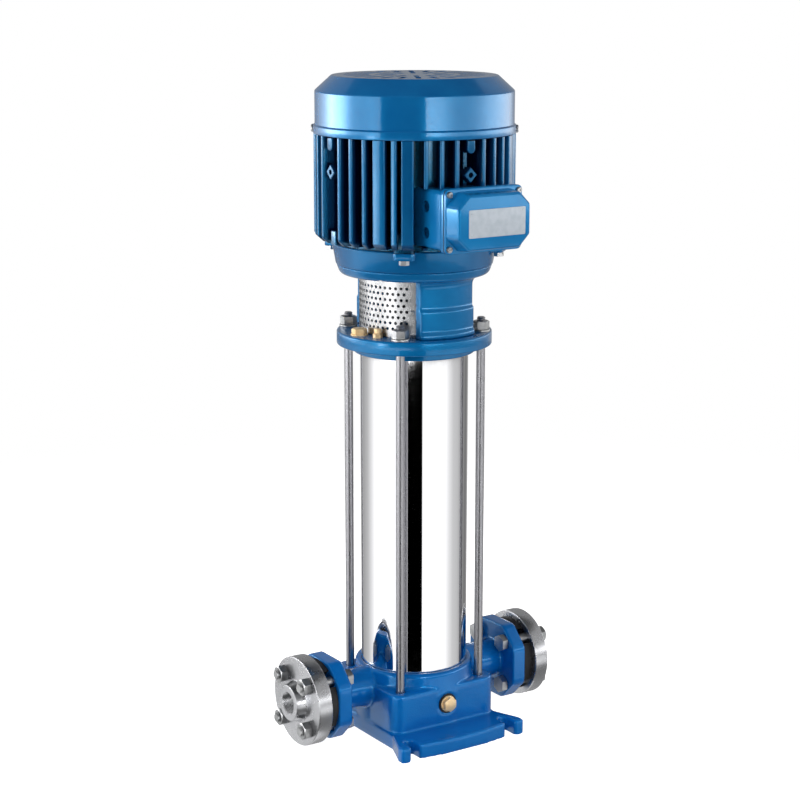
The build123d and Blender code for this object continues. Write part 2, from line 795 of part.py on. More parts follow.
with BuildPart() as stator_windings:
    for low in (core_bottom - winding_height, core_top):
        with BuildSketch(Plane.XZ):
            with Locations((66, low + winding_height / 2)):
                RectangleRounded(15, winding_height, 4)
        revolve(axis=Axis.Z)
stator_windings.part.label = "stator_windings"

with BuildPart() as rear_end_shield:
    with BuildSketch(Plane.XZ):
        Polygon(
            (12, 722), (28, 722), (28, 714), (100, 714), (104, 711), (104, frame_top),
            (frame_bore_r, frame_top), (frame_bore_r, 703), (75, 703), (75, 708), (28, 708),
            (28, 704), (20, 704), (20, 718), (12, 718), align=None,
        )
    revolve(axis=Axis.Z)
    # Lugs inside the cowl's rim.
    for angle in cowl_screw_angles:
        with BuildSketch(Plane.XY.offset(cowl_bottom)):
            with Locations(Location(polar(103, angle, 0), (0, 0, angle))):
                Rectangle(24, 14)
            Circle(cowl_inner_r, mode=Mode.INTERSECT)
        extrude(amount=10)
    for angle in cowl_screw_angles:
        with BuildSketch(radial_plane(cowl_inner_r + 1, angle, cowl_screw_z)):
            Circle(cowl_screw_r)
        extrude(amount=-9, mode=Mode.SUBTRACT)
rear_end_shield.part.label = "rear_end_shield"

with BuildPart() as fan_cowl:
    with BuildSketch(Plane.XZ):
        Polygon(
            (cowl_inner_r, cowl_bottom), (cowl_bead_r, cowl_bottom),
            (cowl_bead_r, cowl_bead_top), (cowl_r, cowl_bead_top + 1), (cowl_r, cowl_shoulder),
            (cowl_top_r, cowl_top), (0, cowl_top), (0, cowl_top - cowl_sheet),
            (cowl_top_r - 0.8, cowl_top - cowl_sheet), (cowl_inner_r, cowl_shoulder - 0.9),
            align=None,
        )
    revolve(axis=Axis.Z)
    # Air inlet: two rings of radial slots.
    with BuildSketch(Plane.XY.offset(cowl_top - 3)):
        with PolarLocations(66, 24):
            SlotOverall(30, 6)
        with PolarLocations(34, 12):
            SlotOverall(22, 6)
    extrude(amount=4, mode=Mode.SUBTRACT)
    for angle in cowl_screw_angles:
        with BuildSketch(radial_plane(cowl_inner_r - 1, angle, cowl_screw_z)):
            Circle(cowl_screw_r)
        extrude(amount=6, mode=Mode.SUBTRACT)
fan_cowl.part.label = "fan_cowl"

with BuildPart() as cowl_screws:
    for angle in cowl_screw_angles:
        with BuildSketch(radial_plane(cowl_bead_r, angle, cowl_screw_z)):
            Circle(4.5)
        extrude(amount=2.6)
        with BuildSketch(radial_plane(cowl_inner_r - 7.5, angle, cowl_screw_z)):
            Circle(cowl_screw_r)
        extrude(amount=11)
cowl_screws.part.label = "cowl_screws"

# ---------------------------------------------------------------- terminal box

with BuildPart() as terminal_box:
    with BuildSketch(front_plane(-60, box_mid_z)):
        RectangleRounded(2 * box_half_width, box_height, 4)
    extrude(amount=box_front - 60)
    with BuildSketch(front_plane(-box_front + lip_depth, box_mid_z)):
        RectangleRounded(2 * lip_half_width, box_height + 6, 5)
    extrude(amount=lip_depth)
    # Saddle that sits on the motor's core.
    with BuildSketch(Plane.XY.offset(box_bottom - 10)):
        Circle(frame_core_r)
    extrude(amount=box_height + 20, mode=Mode.SUBTRACT)
    with BuildSketch(front_plane(-box_back, box_mid_z)):
        Rectangle(2 * (box_half_width - box_wall), box_height - 2 * box_wall)
    extrude(amount=box_front - box_back, mode=Mode.SUBTRACT)
    for entry_z in entry_heights:
        with BuildSketch(
            Plane(origin=(-box_half_width, entry_y, entry_z), x_dir=(0, -1, 0), z_dir=(-1, 0, 0))
        ):
            Circle(entry_r)
        extrude(amount=-box_wall, mode=Mode.SUBTRACT)
terminal_box.part.label = "terminal_box"

with BuildPart() as entry_plugs:
    for entry_z in entry_heights:
        with BuildSketch(
            Plane(origin=(-box_half_width + 1, entry_y, entry_z), x_dir=(0, -1, 0), z_dir=(-1, 0, 0))
        ):
            Circle(entry_r)
        extrude(amount=-(box_wall - 1))
        with BuildSketch(
            Plane(origin=(-box_half_width + 1, entry_y, entry_z), x_dir=(0, -1, 0), z_dir=(-1, 0, 0))
        ):
            Rectangle(8, 1.6)
        extrude(amount=-1.5, mode=Mode.SUBTRACT)
entry_plugs.part.label = "entry_plugs"

with BuildPart() as terminal_board:
    with BuildSketch(front_plane(-box_back, box_mid_z)):
        RectangleRounded(54, 36, 3)
    extrude(amount=8)
    with BuildSketch(front_plane(-box_back - 8, box_mid_z)):
        with GridLocations(18, 18, 3, 2):
            Circle(2.5)
    extrude(amount=14)
terminal_board.part.label = "terminal_board"

with BuildPart() as box_gasket:
    with BuildSketch(front_plane(-box_front, box_mid_z)):
        RectangleRounded(2 * lip_half_width - 1, box_height + 5, 5)
        Rectangle(2 * (box_half_width - box_wall), box_height - 2 * box_wall, mode=Mode.SUBTRACT)
    extrude(amount=gasket_sheet)
box_gasket.part.label = "box_gasket"

with BuildPart() as terminal_box_cover:
    with BuildSketch(front_plane(lip_face_y, box_mid_z)):
        RectangleRounded(2 * lip_half_width, box_height + 6, 5)
    extrude(amount=lip_face_y - cover_base_y)
    with BuildSketch(front_plane(cover_base_y, box_mid_z)) as cover_outline:
        Rectangle(2 * box_half_width + 2, box_height)
        chamfer(cover_outline.vertices(), cover_corner)
    extrude(amount=cover_front + cover_base_y, taper=cover_draft)
    fillet(terminal_box_cover.faces().sort_by(Axis.Y)[0].edges(), 2.5)
    with BuildSketch(front_plane(lip_face_y, box_mid_z)) as cover_hollow:
        Rectangle(2 * (box_half_width + 1 - cover_wall), box_height - 2 * cover_wall)
        chamfer(cover_hollow.vertices(), cover_corner - 2)
    extrude(amount=cover_front + cover_base_y, mode=Mode.SUBTRACT)
terminal_box_cover.part.label = "terminal_box_cover"

with BuildPart() as cover_screws:
    with BuildSketch(front_plane(cover_base_y, box_mid_z)):
        with GridLocations(cover_screw_pitch_x, cover_screw_pitch_z, 2, 2):
            Circle(cover_screw_r)
            Rectangle(5, 1, mode=Mode.SUBTRACT)
    extrude(amount=2.4)
    with BuildSketch(front_plane(cover_base_y, box_mid_z)):
        with GridLocations(cover_screw_pitch_x, cover_screw_pitch_z, 2, 2):
            Circle(cover_screw_r)
    extrude(amount=1)
cover_screws.part.label = "cover_screws"

with BuildPart() as name_plate:
    with BuildSketch(front_plane(-cover_front, plate_z)):
        with Locations((plate_x, 0)):
            RectangleRounded(plate_width, plate_height, 1.5)
    extrude(amount=0.6)
name_plate.part.label = "name_plate"

# ---------------------------------------------------------------- stages and shaft line

with BuildPart() as inlet_support:
    with BuildSketch(Plane.XY.offset(stack_seat)):
        Circle(stage_r)
        Circle(36, mode=Mode.SUBTRACT)
        with PolarLocations(26, 3):
            Rectangle(24, 8)
        Circle(12, mode=Mode.SUBTRACT)
    extrude(amount=stack_bottom - stack_seat)
    with BuildSketch(Plane.XY.offset(62)):
        Circle(16)
        Circle(12, mode=Mode.SUBTRACT)
    extrude(amount=stack_bottom - 62)
inlet_support.part.label = "inlet_support"

with BuildPart() as bottom_bush:
    with BuildSketch(Plane.XY.offset(62)):
        Circle(12)
        Circle(pump_shaft_r + running_clearance, mode=Mode.SUBTRACT)
    extrude(amount=stack_bottom - 62)
bottom_bush.part.label = "bottom_bush"

return_vane = curved_vane(27, 45, 18, 30, 2)
impeller_vane = curved_vane(22, impeller_r - 1, 16, 30, 2)


def stage_chamber(floor_z, height, guided):
    """Cup of one stage; a guided one carries the return vanes of the stage below it."""
    with BuildPart() as chamber:
        with BuildSketch(Plane.XZ):
            Polygon(
                (eye_bore_r, floor_z), (stage_r, floor_z), (stage_r, floor_z + height),
                (stage_r - stage_wall, floor_z + height), (stage_r - stage_wall, floor_z + 3),
                (eye_bore_r, floor_z + 3), align=None,
            )
        revolve(axis=Axis.Z)
        if guided:
            with BuildSketch(Plane.XY.offset(floor_z + 1)):
                with PolarLocations(0, vane_count):
                    add(return_vane)
            extrude(amount=-19.5)
            with BuildSketch(Plane.XY.offset(floor_z - 18)):
                Circle(46)
                Circle(15, mode=Mode.SUBTRACT)
            extrude(amount=-2)
    return chamber.part


stage_chambers = Compound(
    label="stage_chambers",
    children=[
        stage_chamber(stack_bottom + stage * stage_pitch, stage_pitch, stage > 0)
        for stage in range(stage_count)
    ],
)

top_cup = stage_chamber(stack_top, head_bottom - stack_top, True)
with BuildPart() as discharge_chamber:
    add(top_cup)
    # Windows that let the water out into the space inside the sleeve.
    for angle in range(30, 390, 60):
        with BuildSketch(radial_plane(stage_r - 4, angle, stack_top + 24)):
            Rectangle(24, 22)
        extrude(amount=6, mode=Mode.SUBTRACT)
discharge_chamber.part.label = "discharge_chamber"

with BuildPart() as impellers:
    for stage in range(stage_count):
        floor_z = stack_bottom + stage * stage_pitch
        # Eye ring and front shroud, vanes, then the back shroud and its hub.
        with BuildSketch(Plane.XZ):
            Polygon(
                (21, floor_z + 0.5), (24.6, floor_z + 0.5), (24.6, floor_z + 6),
                (impeller_r, floor_z + 6), (impeller_r, floor_z + 8), (21, floor_z + 8),
                align=None,
            )
        revolve(axis=Axis.Z)
        with BuildSketch(Plane.XY.offset(floor_z + 7)):
            with PolarLocations(0, vane_count):
                add(impeller_vane)
        extrude(amount=14)
        with BuildSketch(Plane.XZ):
            Polygon(
                (pump_shaft_r, floor_z + 10), (13, floor_z + 10), (16, floor_z + 20),
                (impeller_r, floor_z + 20), (impeller_r, floor_z + 22), (13, floor_z + 22),
                (13, floor_z + 30), (pump_shaft_r, floor_z + 30), align=None,
            )
        revolve(axis=Axis.Z)
impellers.part.label = "impellers"

with BuildPart() as shaft_spacers:
    spacer_ends = [(stack_bottom + 1, stack_bottom + 10)]
    for stage in range(stage_count - 1):
        hub_top = stack_bottom + stage * stage_pitch + 30
        spacer_ends.append((hub_top, hub_top + stage_pitch - 20))
    spacer_ends.append((stack_top - stage_pitch + 30, 440))
    for low, high in spacer_ends:
        with BuildSketch(Plane.XY.offset(low)):
            Circle(12)
            Circle(pump_shaft_r, mode=Mode.SUBTRACT)
        extrude(amount=high - low)
shaft_spacers.part.label = "shaft_spacers"

with BuildPart() as pump_shaft:
    with BuildSketch(Plane.XY.offset(pump_shaft_bottom)):
        Circle(pump_shaft_r)
    extrude(amount=pump_shaft_top - pump_shaft_bottom)
    chamfer(pump_shaft.edges().filter_by(GeomType.CIRCLE), 1)
pump_shaft.part.label = "pump_shaft"

with BuildPart() as seal_seat:
    with BuildSketch(Plane.XY.offset(468)):
        Circle(seal_bore_r)
        Circle(9, mode=Mode.SUBTRACT)
    extrude(amount=8)
seal_seat.part.label = "seal_seat"

with BuildPart() as seal_ring:
    with BuildSketch(Plane.XZ):
        Polygon(
            (pump_shaft_r, 440), (16, 440), (16, 458), (18, 458), (18, 465), (15, 467.7),
            (pump_shaft_r, 467.7), align=None,
        )
    revolve(axis=Axis.Z)
seal_ring.part.label = "seal_ring"

with BuildPart() as coupling_halves:
    # Clamp coupling: a lower bore for the pump shaft and a wider one for the motor shaft.
    with BuildSketch(Plane.XY.offset(coupling_bottom)):
        Circle(23)
        Rectangle(64, 26)
        Rectangle(70, 2, mode=Mode.SUBTRACT)
    extrude(amount=coupling_top - coupling_bottom)
    with BuildSketch(Plane.XY.offset(coupling_bottom)):
        Circle(pump_shaft_r)
    extrude(amount=coupling_step - coupling_bottom, mode=Mode.SUBTRACT)
    with BuildSketch(Plane.XY.offset(coupling_step)):
        Circle(motor_shaft_r)
    extrude(amount=coupling_top - coupling_step, mode=Mode.SUBTRACT)
    with BuildSketch(front_plane(-14, coupling_mid_z)):
        with GridLocations(coupling_bolt_pitch_x, coupling_bolt_pitch_z, 2, 2):
            Circle(coupling_bolt_r)
    extrude(amount=-28, mode=Mode.SUBTRACT)
coupling_halves.part.label = "coupling_halves"

with BuildPart() as coupling_bolts:
    with BuildSketch(front_plane(-13, coupling_mid_z)):
        with GridLocations(coupling_bolt_pitch_x, coupling_bolt_pitch_z, 2, 2):
            Circle(5)
            RegularPolygon(radius=2.8, side_count=6, mode=Mode.SUBTRACT)
    extrude(amount=6)
    with BuildSketch(front_plane(-15, coupling_mid_z)):
        with GridLocations(coupling_bolt_pitch_x, coupling_bolt_pitch_z, 2, 2):
            Circle(coupling_bolt_r)
    extrude(amount=-33)
    with BuildSketch(front_plane(13, coupling_mid_z)):
        with GridLocations(coupling_bolt_pitch_x, coupling_bolt_pitch_z, 2, 2):
            RegularPolygon(radius=5, side_count=6, major_radius=False)
    extrude(amount=-5)
coupling_bolts.part.label = "coupling_bolts"

with BuildPart() as motor_shaft:
    with BuildSketch(Plane.XZ):
        Polygon(
            (0, 519), (motor_shaft_r - 1, 519), (motor_shaft_r, 520), (motor_shaft_r, 562),
            (12.5, 562), (12.5, 579), (rotor_bore_r, 579), (rotor_bore_r, 704), (10, 704),
            (10, 749), (9, 750),
            (0, 750), align=None,
        )
    revolve(axis=Axis.Z)
motor_shaft.part.label = "motor_shaft"

with BuildPart() as rotor_core:
    with BuildSketch(Plane.XY.offset(core_bottom)):
        Circle(54.6)
        Circle(rotor_bore_r, mode=Mode.SUBTRACT)
    extrude(amount=core_top - core_bottom)
rotor_core.part.label = "rotor_core"

bearings = ((563, 15, 12.5, 20, 26), (705, 13, 10, 15.5, 20))
with BuildPart() as bearing_outer_rings:
    for low, width, inner, gap_r, outer in bearings:
        with BuildSketch(Plane.XY.offset(low)):
            Circle(outer)
            Circle(gap_r + running_clearance, mode=Mode.SUBTRACT)
        extrude(amount=width)
bearing_outer_rings.part.label = "bearing_outer_rings"

with BuildPart() as bearing_inner_rings:
    for low, width, inner, gap_r, outer in bearings:
        with BuildSketch(Plane.XY.offset(low)):
            Circle(gap_r)
            Circle(inner, mode=Mode.SUBTRACT)
        extrude(amount=width)
bearing_inner_rings.part.label = "bearing_inner_rings"

with BuildPart() as cooling_fan:
    # Hub and disc, with straight radial blades that work both ways round.
    with BuildSketch(Plane.XZ):
        Polygon(
            (10, 726), (62, 726), (62, 729), (18, 731), (18, 748), (10, 748), align=None,
        )
    revolve(axis=Axis.Z)
    for blade in range(7):
        angle = blade * 360 / 7
        with BuildSketch(
            Plane(
                origin=(0, 0, 0),
                x_dir=(*polar(1, angle), 0),
                z_dir=(*polar(1, angle - 90), 0),
            )
        ):
            Polygon((16, 727), (98, 727), (98, 746), (90, 752), (30, 752), (16, 746), align=None)
        extrude(amount=1.3, both=True)
cooling_fan.part.label = "cooling_fan"

os.makedirs("parts", exist_ok=True)
built_pieces = (
    base_casting, drain_seal, drain_plug, suction_gasket, discharge_gasket, suction_flange,
    discharge_flange, flange_bolts, flange_nuts, outer_sleeve, sleeve_seals, tie_rods,
    tie_rod_washers, tie_rod_nuts, pump_head, priming_plug, vent_seat, vent_screw, motor_stool,
    stool_screws, motor_flange_screws, guard_left, guard_right, guard_screws, motor_end_bell,
    motor_frame, frame_screws, stator_core, stator_windings, rear_end_shield, fan_cowl,
    cowl_screws, terminal_box, entry_plugs, terminal_board, box_gasket, terminal_box_cover,
    cover_screws, name_plate, inlet_support, bottom_bush, discharge_chamber, impellers,
    shaft_spacers, pump_shaft, seal_seat, seal_ring, coupling_halves, coupling_bolts,
    motor_shaft, rotor_core, bearing_outer_rings, bearing_inner_rings, cooling_fan,
)
for piece in built_pieces:
    export_step(piece.part, f"parts/{piece.part.label}.step")
export_step(stage_chambers, "parts/stage_chambers.step")
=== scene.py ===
import bmesh
import bpy
import numpy as np
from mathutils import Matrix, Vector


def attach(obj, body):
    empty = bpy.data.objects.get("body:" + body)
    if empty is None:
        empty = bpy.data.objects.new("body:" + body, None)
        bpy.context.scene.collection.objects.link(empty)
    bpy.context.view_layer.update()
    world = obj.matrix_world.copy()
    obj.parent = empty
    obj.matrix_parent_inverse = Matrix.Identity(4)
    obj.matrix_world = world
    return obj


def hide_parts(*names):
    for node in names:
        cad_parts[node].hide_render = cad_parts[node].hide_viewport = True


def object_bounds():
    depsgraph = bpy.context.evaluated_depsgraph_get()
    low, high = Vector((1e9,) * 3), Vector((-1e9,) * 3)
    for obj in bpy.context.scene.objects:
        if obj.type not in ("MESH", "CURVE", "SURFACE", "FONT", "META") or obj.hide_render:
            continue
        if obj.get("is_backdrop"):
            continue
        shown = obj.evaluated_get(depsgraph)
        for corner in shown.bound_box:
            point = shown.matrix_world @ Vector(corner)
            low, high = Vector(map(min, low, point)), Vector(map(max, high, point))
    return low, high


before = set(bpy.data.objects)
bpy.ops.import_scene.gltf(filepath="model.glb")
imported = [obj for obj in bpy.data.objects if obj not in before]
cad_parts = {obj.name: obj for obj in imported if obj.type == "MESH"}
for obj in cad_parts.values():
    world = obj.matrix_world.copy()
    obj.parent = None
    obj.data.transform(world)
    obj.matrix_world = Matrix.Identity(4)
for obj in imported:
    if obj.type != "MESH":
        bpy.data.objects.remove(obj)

cadBox = [list(corner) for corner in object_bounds()]
scene = bpy.context.scene
mm = 0.001
tau = 2 * np.pi


def addObject(name, data):
    # object for the data, linked to the scene
    thing = bpy.data.objects.new(name, data)
    scene.collection.objects.link(thing)
    return thing


def addMesh(name, points, faces):
    # mesh object from arrays
    mesh = bpy.data.meshes.new(name)
    mesh.from_pydata(points.tolist(), [], faces)
    return addObject(name, mesh)


# Camera, from the front left and a little above the pump's top, in metres and degrees
cameraSet = {"azimuth": -33.5, "tilt": 12.5, "distance": 2.252, "height": 0.8962, "pan": 0.42, "lens": 88.74}
cameraData = bpy.data.cameras.new("camera")
cameraData.lens = cameraSet["lens"]
camera = addObject("camera", cameraData)
viewAngle = np.radians(cameraSet["azimuth"])
camera.location = (np.sin(viewAngle) * cameraSet["distance"], -np.cos(viewAngle) * cameraSet["distance"],
                   cameraSet["height"])
camera.rotation_euler = (np.radians(90 - cameraSet["tilt"]), 0, viewAngle + np.radians(cameraSet["pan"]))
scene.camera = camera
scene.view_settings.view_transform = "Standard"


# Shapes as arrays; every length below is in millimetres until a piece is made
def softCorners(corners, radii, steps=5):
    # each corner turns into an arc that touches both of its sides; a short side cuts the arc's reach down
    p = np.asarray(corners, float)
    r = np.broadcast_to(np.asarray(radii, float), len(p))
    back, ahead = np.roll(p, 1, 0) - p, np.roll(p, -1, 0) - p
    backLength, aheadLength = (np.linalg.norm(way, axis=1, keepdims=True) for way in (back, ahead))
    back, ahead = back / backLength, ahead / aheadLength
    half = np.arccos(np.clip((back * ahead).sum(1, keepdims=True), -1, 1)) / 2
    half = np.clip(half, 0.01, np.pi / 2 - 1e-4)
    reach = np.minimum(r[:, None] / np.tan(half), 0.48 * np.minimum(backLength, aheadLength))
    middle = back + ahead
    middle /= np.maximum(np.linalg.norm(middle, axis=1, keepdims=True), 1e-9)
    centre = p + middle * (reach / np.cos(half))
    first, last = p + back * reach - centre, p + ahead * reach - centre
    turn = np.pi - 2 * half
    t = np.linspace(0, 1, steps + 1)
    wFirst, wLast = np.sin((1 - t) * turn) / np.sin(turn), np.sin(t * turn) / np.sin(turn)
    arc = centre[:, None] + wFirst[..., None] * first[:, None] + wLast[..., None] * last[:, None]
    return arc.reshape(-1, 2)


def weave(rows, cols, closeRows, closeCols):
    # four neighbours of a grid make one face; a closed direction joins its last line to its first
    i = np.arange(rows if closeRows else rows - 1)[:, None]
    j = np.arange(cols if closeCols else cols - 1)[None, :]
    iNext, jNext = (i + 1) % rows, (j + 1) % cols
    quads = np.stack([i * cols + j, iNext * cols + j, iNext * cols + jNext, i * cols + jNext], -1)
    return quads.reshape(-1, 4)


def gridPart(points, closeRows=False, closeCols=True, caps=False):
    # surface through a grid of points (rows, columns, 3); caps close its first and last row
    rows, cols = points.shape[:2]
    faces = [weave(rows, cols, closeRows, closeCols)]
    if caps:
        faces += [np.arange(cols)[None, :], (rows - 1) * cols + np.arange(cols)[None, ::-1]]
    return points.reshape(-1, points.shape[-1]), faces


def polar(radius, angle, height):
    # radius times the cosine and the sine of the angle, and the height; each may be a number or an array
    return np.stack(np.broadcast_arrays(radius * np.cos(angle), radius * np.sin(angle), height), -1)


def turned(profile, steps=128):
    # profile of radius and height carried round the upright axis
    r, z = np.asarray(profile, float).T
    angle = np.radians(np.linspace(0, 360, steps, endpoint=False))[:, None]
    return gridPart(polar(r, angle, z), closeRows=True)


def inset(outline, depth):
    # outline moved inwards by depth, each point along the bisector of its two sides
    ahead = np.roll(outline, -1, 0) - outline
    ahead /= np.maximum(np.linalg.norm(ahead, axis=1), 1e-9)[:, None]
    normal = np.stack([-ahead[:, 1], ahead[:, 0]], 1)
    before = np.roll(normal, 1, 0)
    return outline + depth * (normal + before) / np.maximum(1 + (normal * before).sum(1), 0.3)[:, None]


def slab(outline, low, high, lowEdge=0.0, highEdge=0.0, draft=0.0, steps=4):
    # outline raised from low to high; its edges are quarter rounds and its walls lean in by the draft
    outline = np.asarray(outline, float)
    area = (outline[:, 0] * np.roll(outline[:, 1], -1) - np.roll(outline[:, 0], -1) * outline[:, 1]).sum()
    outline = outline if area > 0 else outline[::-1]
    quarter = np.radians(np.linspace(90, 0, steps + 1))
    below, above = quarter if lowEdge else quarter[-1:], quarter[::-1] if highEdge else quarter[-1:]
    depths = np.concatenate([lowEdge * (1 - np.cos(below)), draft + highEdge * (1 - np.cos(above))])
    heights = np.concatenate([low + lowEdge * (1 - np.sin(below)), high - highEdge * (1 - np.sin(above))])
    rows = [np.column_stack([inset(outline, d), np.full(len(outline), h)]) for d, h in zip(depths, heights)]
    return gridPart(np.array(rows), caps=True)


def rectangle(width, height, corner=0.0, cut=0.0, steps=5):
    # four corners about the middle, or eight where each is cut off, rounded after that
    w, h = width / 2, height / 2
    if cut:
        p = [(-w + cut, -h), (w - cut, -h), (w, -h + cut), (w, h - cut), (w - cut, h), (-w + cut, h), (-w, h - cut),
             (-w, -h + cut)]
    else:
        p = [(-w, -h), (w, -h), (w, h), (-w, h)]
    return softCorners(p, corner, steps) if corner else np.array(p)


def ring(radius, steps=48, x=0.0, y=0.0):
    # even points round a circle
    angle = np.linspace(0, tau, steps, endpoint=False)
    return np.column_stack([x + radius * np.cos(angle), y + radius * np.sin(angle)])


def starHead(rows, steps=48):
    # rows of radius and height round one axis; a radius may be a number or a function of the angle
    angle = np.linspace(0, tau, steps, endpoint=False)
    radius, height = (np.array([np.broadcast_to(v(angle) if callable(v) else v, steps) for v in values])
                      for values in zip(*rows))
    return gridPart(polar(radius, angle, height))


def slotRadius(length, width):
    # from the middle of a slot to its end or its side, whichever comes first
    return lambda angle: np.minimum(length / 2 / np.maximum(np.abs(np.cos(angle)), 1e-6),
                                    width / 2 / np.maximum(np.abs(np.sin(angle)), 1e-6))


def hexBody(acrossFlats, low, high, bore=0.0, bothSides=False):
    # half the width over the cosine of the angle off a side's middle, falling away at 30 degrees from a round top
    flat = acrossFlats * 0.47
    corner = lambda angle: acrossFlats / 2 / np.cos((angle + np.pi / 6) % (np.pi / 3) - np.pi / 6)
    drop = lambda angle: (corner(angle) - flat) * np.tan(np.pi / 6)
    lowEdge = (lambda angle: low + drop(angle)) if bothSides else low
    rows = [(bore, low), (flat, low), (corner, lowEdge), (corner, lambda angle: high - drop(angle)), (flat, high),
            (bore, high)]
    points, faces = starHead(rows)
    if bore:
        faces = [weave(len(rows), 48, True, True)]
    return points, faces


def screwHead(radius, height, recess, depth, edge=0.5):
    # round head with a recess whose outline is a function of the angle
    return starHead([(0, height - depth), (recess, height - depth), (recess, height), (radius - edge, height),
                     (radius, height - edge), (radius, 0), (0, 0)])


def stud(radius, low, high, threadLow=None, pitch=1.75, steps=24):
    # round bar with bevelled ends; above threadLow a triangular thread runs up it as a helix
    plain = threadLow or high
    z = np.array([low, low, low + 0.8, plain, *np.arange(plain + pitch / 8, high - 0.8, pitch / 6), high - 0.8, high,
                  high])
    angle = np.linspace(0, tau, steps, endpoint=False)
    swing = np.abs(2 * ((z[:, None] / pitch - angle[None, :] / tau) % 1) - 1)
    r = radius - np.where(z > plain, 0.55 * pitch, 0)[:, None] * swing
    r[[0, -1]], r[[1, -2]] = 0, radius - (1.2 if threadLow else 0.8)
    return gridPart(polar(r, angle, z[:, None]))


def placed(part, origin=(0, 0, 0), x=(1, 0, 0), y=(0, 1, 0)):
    # part carried into a frame of its own: an origin and the directions of its first two axes
    points, faces = part
    x, y = np.array(x, float), np.array(y, float)
    return np.array(origin, float) + points @ np.array([x, y, np.cross(x, y)]), faces


def outwards(part, angle, z=0.0, radius=0.0):
    # part whose own z points away from the shaft, at an angle, with its y upwards
    a = np.radians(angle)
    return placed(part, polar(radius, a, z), (-np.sin(a), np.cos(a), 0), (0, 0, 1))


def upright(part, angle, radius=0.0, z=0.0):
    # part turned about the shaft, with its x pointing away from it
    a = np.radians(angle)
    return placed(part, polar(radius, a, z), (np.cos(a), np.sin(a), 0), (-np.sin(a), np.cos(a), 0))


def sideways(part, side, x=0.0, y=0.0, z=0.0):
    # part whose own z points along the ports, away from the pump
    return placed(part, (side * x, y, z), (0, side, 0), (0, 0, 1))


def frontal(part, y=0.0, x=0.0, z=0.0):
    # part whose own z points to the front
    return placed(part, (x, y, z), (1, 0, 0), (0, 0, 1))


def rawObject(name, parts):
    # the parts' arrays end to end, each part's faces moved on by the points before it, and the mesh mended
    points = np.concatenate([p for p, _ in parts]) * mm
    faces, base = [], 0
    for p, groups in parts:
        for group in groups:
            faces += (group + base).tolist()
        base += len(p)
    piece = addMesh(name, points, faces)
    body = bmesh.new()
    body.from_mesh(piece.data)
    bmesh.ops.remove_doubles(body, verts=body.verts, dist=1e-6)
    bmesh.ops.dissolve_degenerate(body, edges=body.edges, dist=1e-7)
    bmesh.ops.recalc_face_normals(body, faces=body.faces)
    body.to_mesh(piece.data)
    body.free()
    return piece


def carve(piece, cutters, selfCrossing=True):
    # the piece less its cutters
    cut = piece.modifiers.new("carve", "BOOLEAN")
    cut.object, cut.operation, cut.solver = rawObject("cutter", cutters), "DIFFERENCE", "EXACT"
    cut.use_self = selfCrossing


def settle(piece):
    # the modifiers' result becomes the mesh itself, and the cutter goes
    bpy.context.view_layer.update()
    result = bpy.data.meshes.new_from_object(piece.evaluated_get(bpy.context.evaluated_depsgraph_get()))
    piece.modifiers.clear()
    piece.data = result
    if "cutter" in bpy.data.objects:
        bpy.data.objects.remove(bpy.data.objects["cutter"])


def newPiece(name, parts, material, node, body="pump", crease=35, cutters=None, voxel=None,
             thickness=None):
    # parts joined, then carved, given a wall or melted into one skin, and shaded smooth up to the crease
    piece = rawObject(name, parts)
    if cutters:
        carve(piece, cutters)
    if thickness:
        wall = piece.modifiers.new("wall", "SOLIDIFY")
        wall.thickness, wall.offset = thickness * mm, -1
    if voxel:
        remesh = piece.modifiers.new("remesh", "REMESH")
        remesh.mode, remesh.voxel_size = "VOXEL", voxel * mm
        ease = piece.modifiers.new("ease", "SMOOTH")
        ease.factor, ease.iterations = 0.5, 3
    if piece.modifiers:
        settle(piece)
    piece.data.materials.clear()
    piece.data.materials.append(material)
    piece.data.shade_smooth()
    if not voxel:
        piece.data.set_sharp_from_angle(angle=np.radians(crease))
    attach(piece, body)
    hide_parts(node)


# Materials
def linear(hexColour):
    # sRGB hex to linear light
    v = np.array([int(hexColour[i:i + 2], 16) for i in (1, 3, 5)]) / 255
    return (*np.where(v <= 0.04045, v / 12.92, ((v + 0.055) / 1.055) ** 2.4).tolist(), 1.0)


def join(tree, node, sources):
    # each socket or node linked to the input that it is given for
    for key, source in sources.items():
        tree.links.new(source.outputs[0] if isinstance(source, bpy.types.Node) else source, node.inputs[key])


def addNode(tree, kind, inputs=None, stops=None, **settings):
    # inputs are values, or links from a socket or a node's first output; stops are a ramp's places and colours
    node = tree.nodes.new("ShaderNode" + kind)
    for key, value in settings.items():
        setattr(node, key, value)
    for key, value in (inputs or {}).items():
        if isinstance(value, (bpy.types.Node, bpy.types.NodeSocket)):
            join(tree, node, {key: value})
        else:
            node.inputs[key].default_value = value
    if stops:
        for element, (place, hexColour) in zip(node.color_ramp.elements, stops.items()):
            element.position, element.color = place, linear(hexColour)
    return node


def startMaterial(name, **sockets):
    # principled shader with some sockets set, and the object's own coordinates
    material = bpy.data.materials.new(name)
    material.use_nodes = True
    tree = material.node_tree
    shader = tree.nodes["Principled BSDF"]
    for key, value in sockets.items():
        shader.inputs[key.replace("_", " ")].default_value = value
    where = addNode(tree, "TexCoord").outputs["Object"]
    return material, tree, shader, where


def perMm(size):
    return 1 / (size * mm)  # noise scale that gives features of this size in millimetres


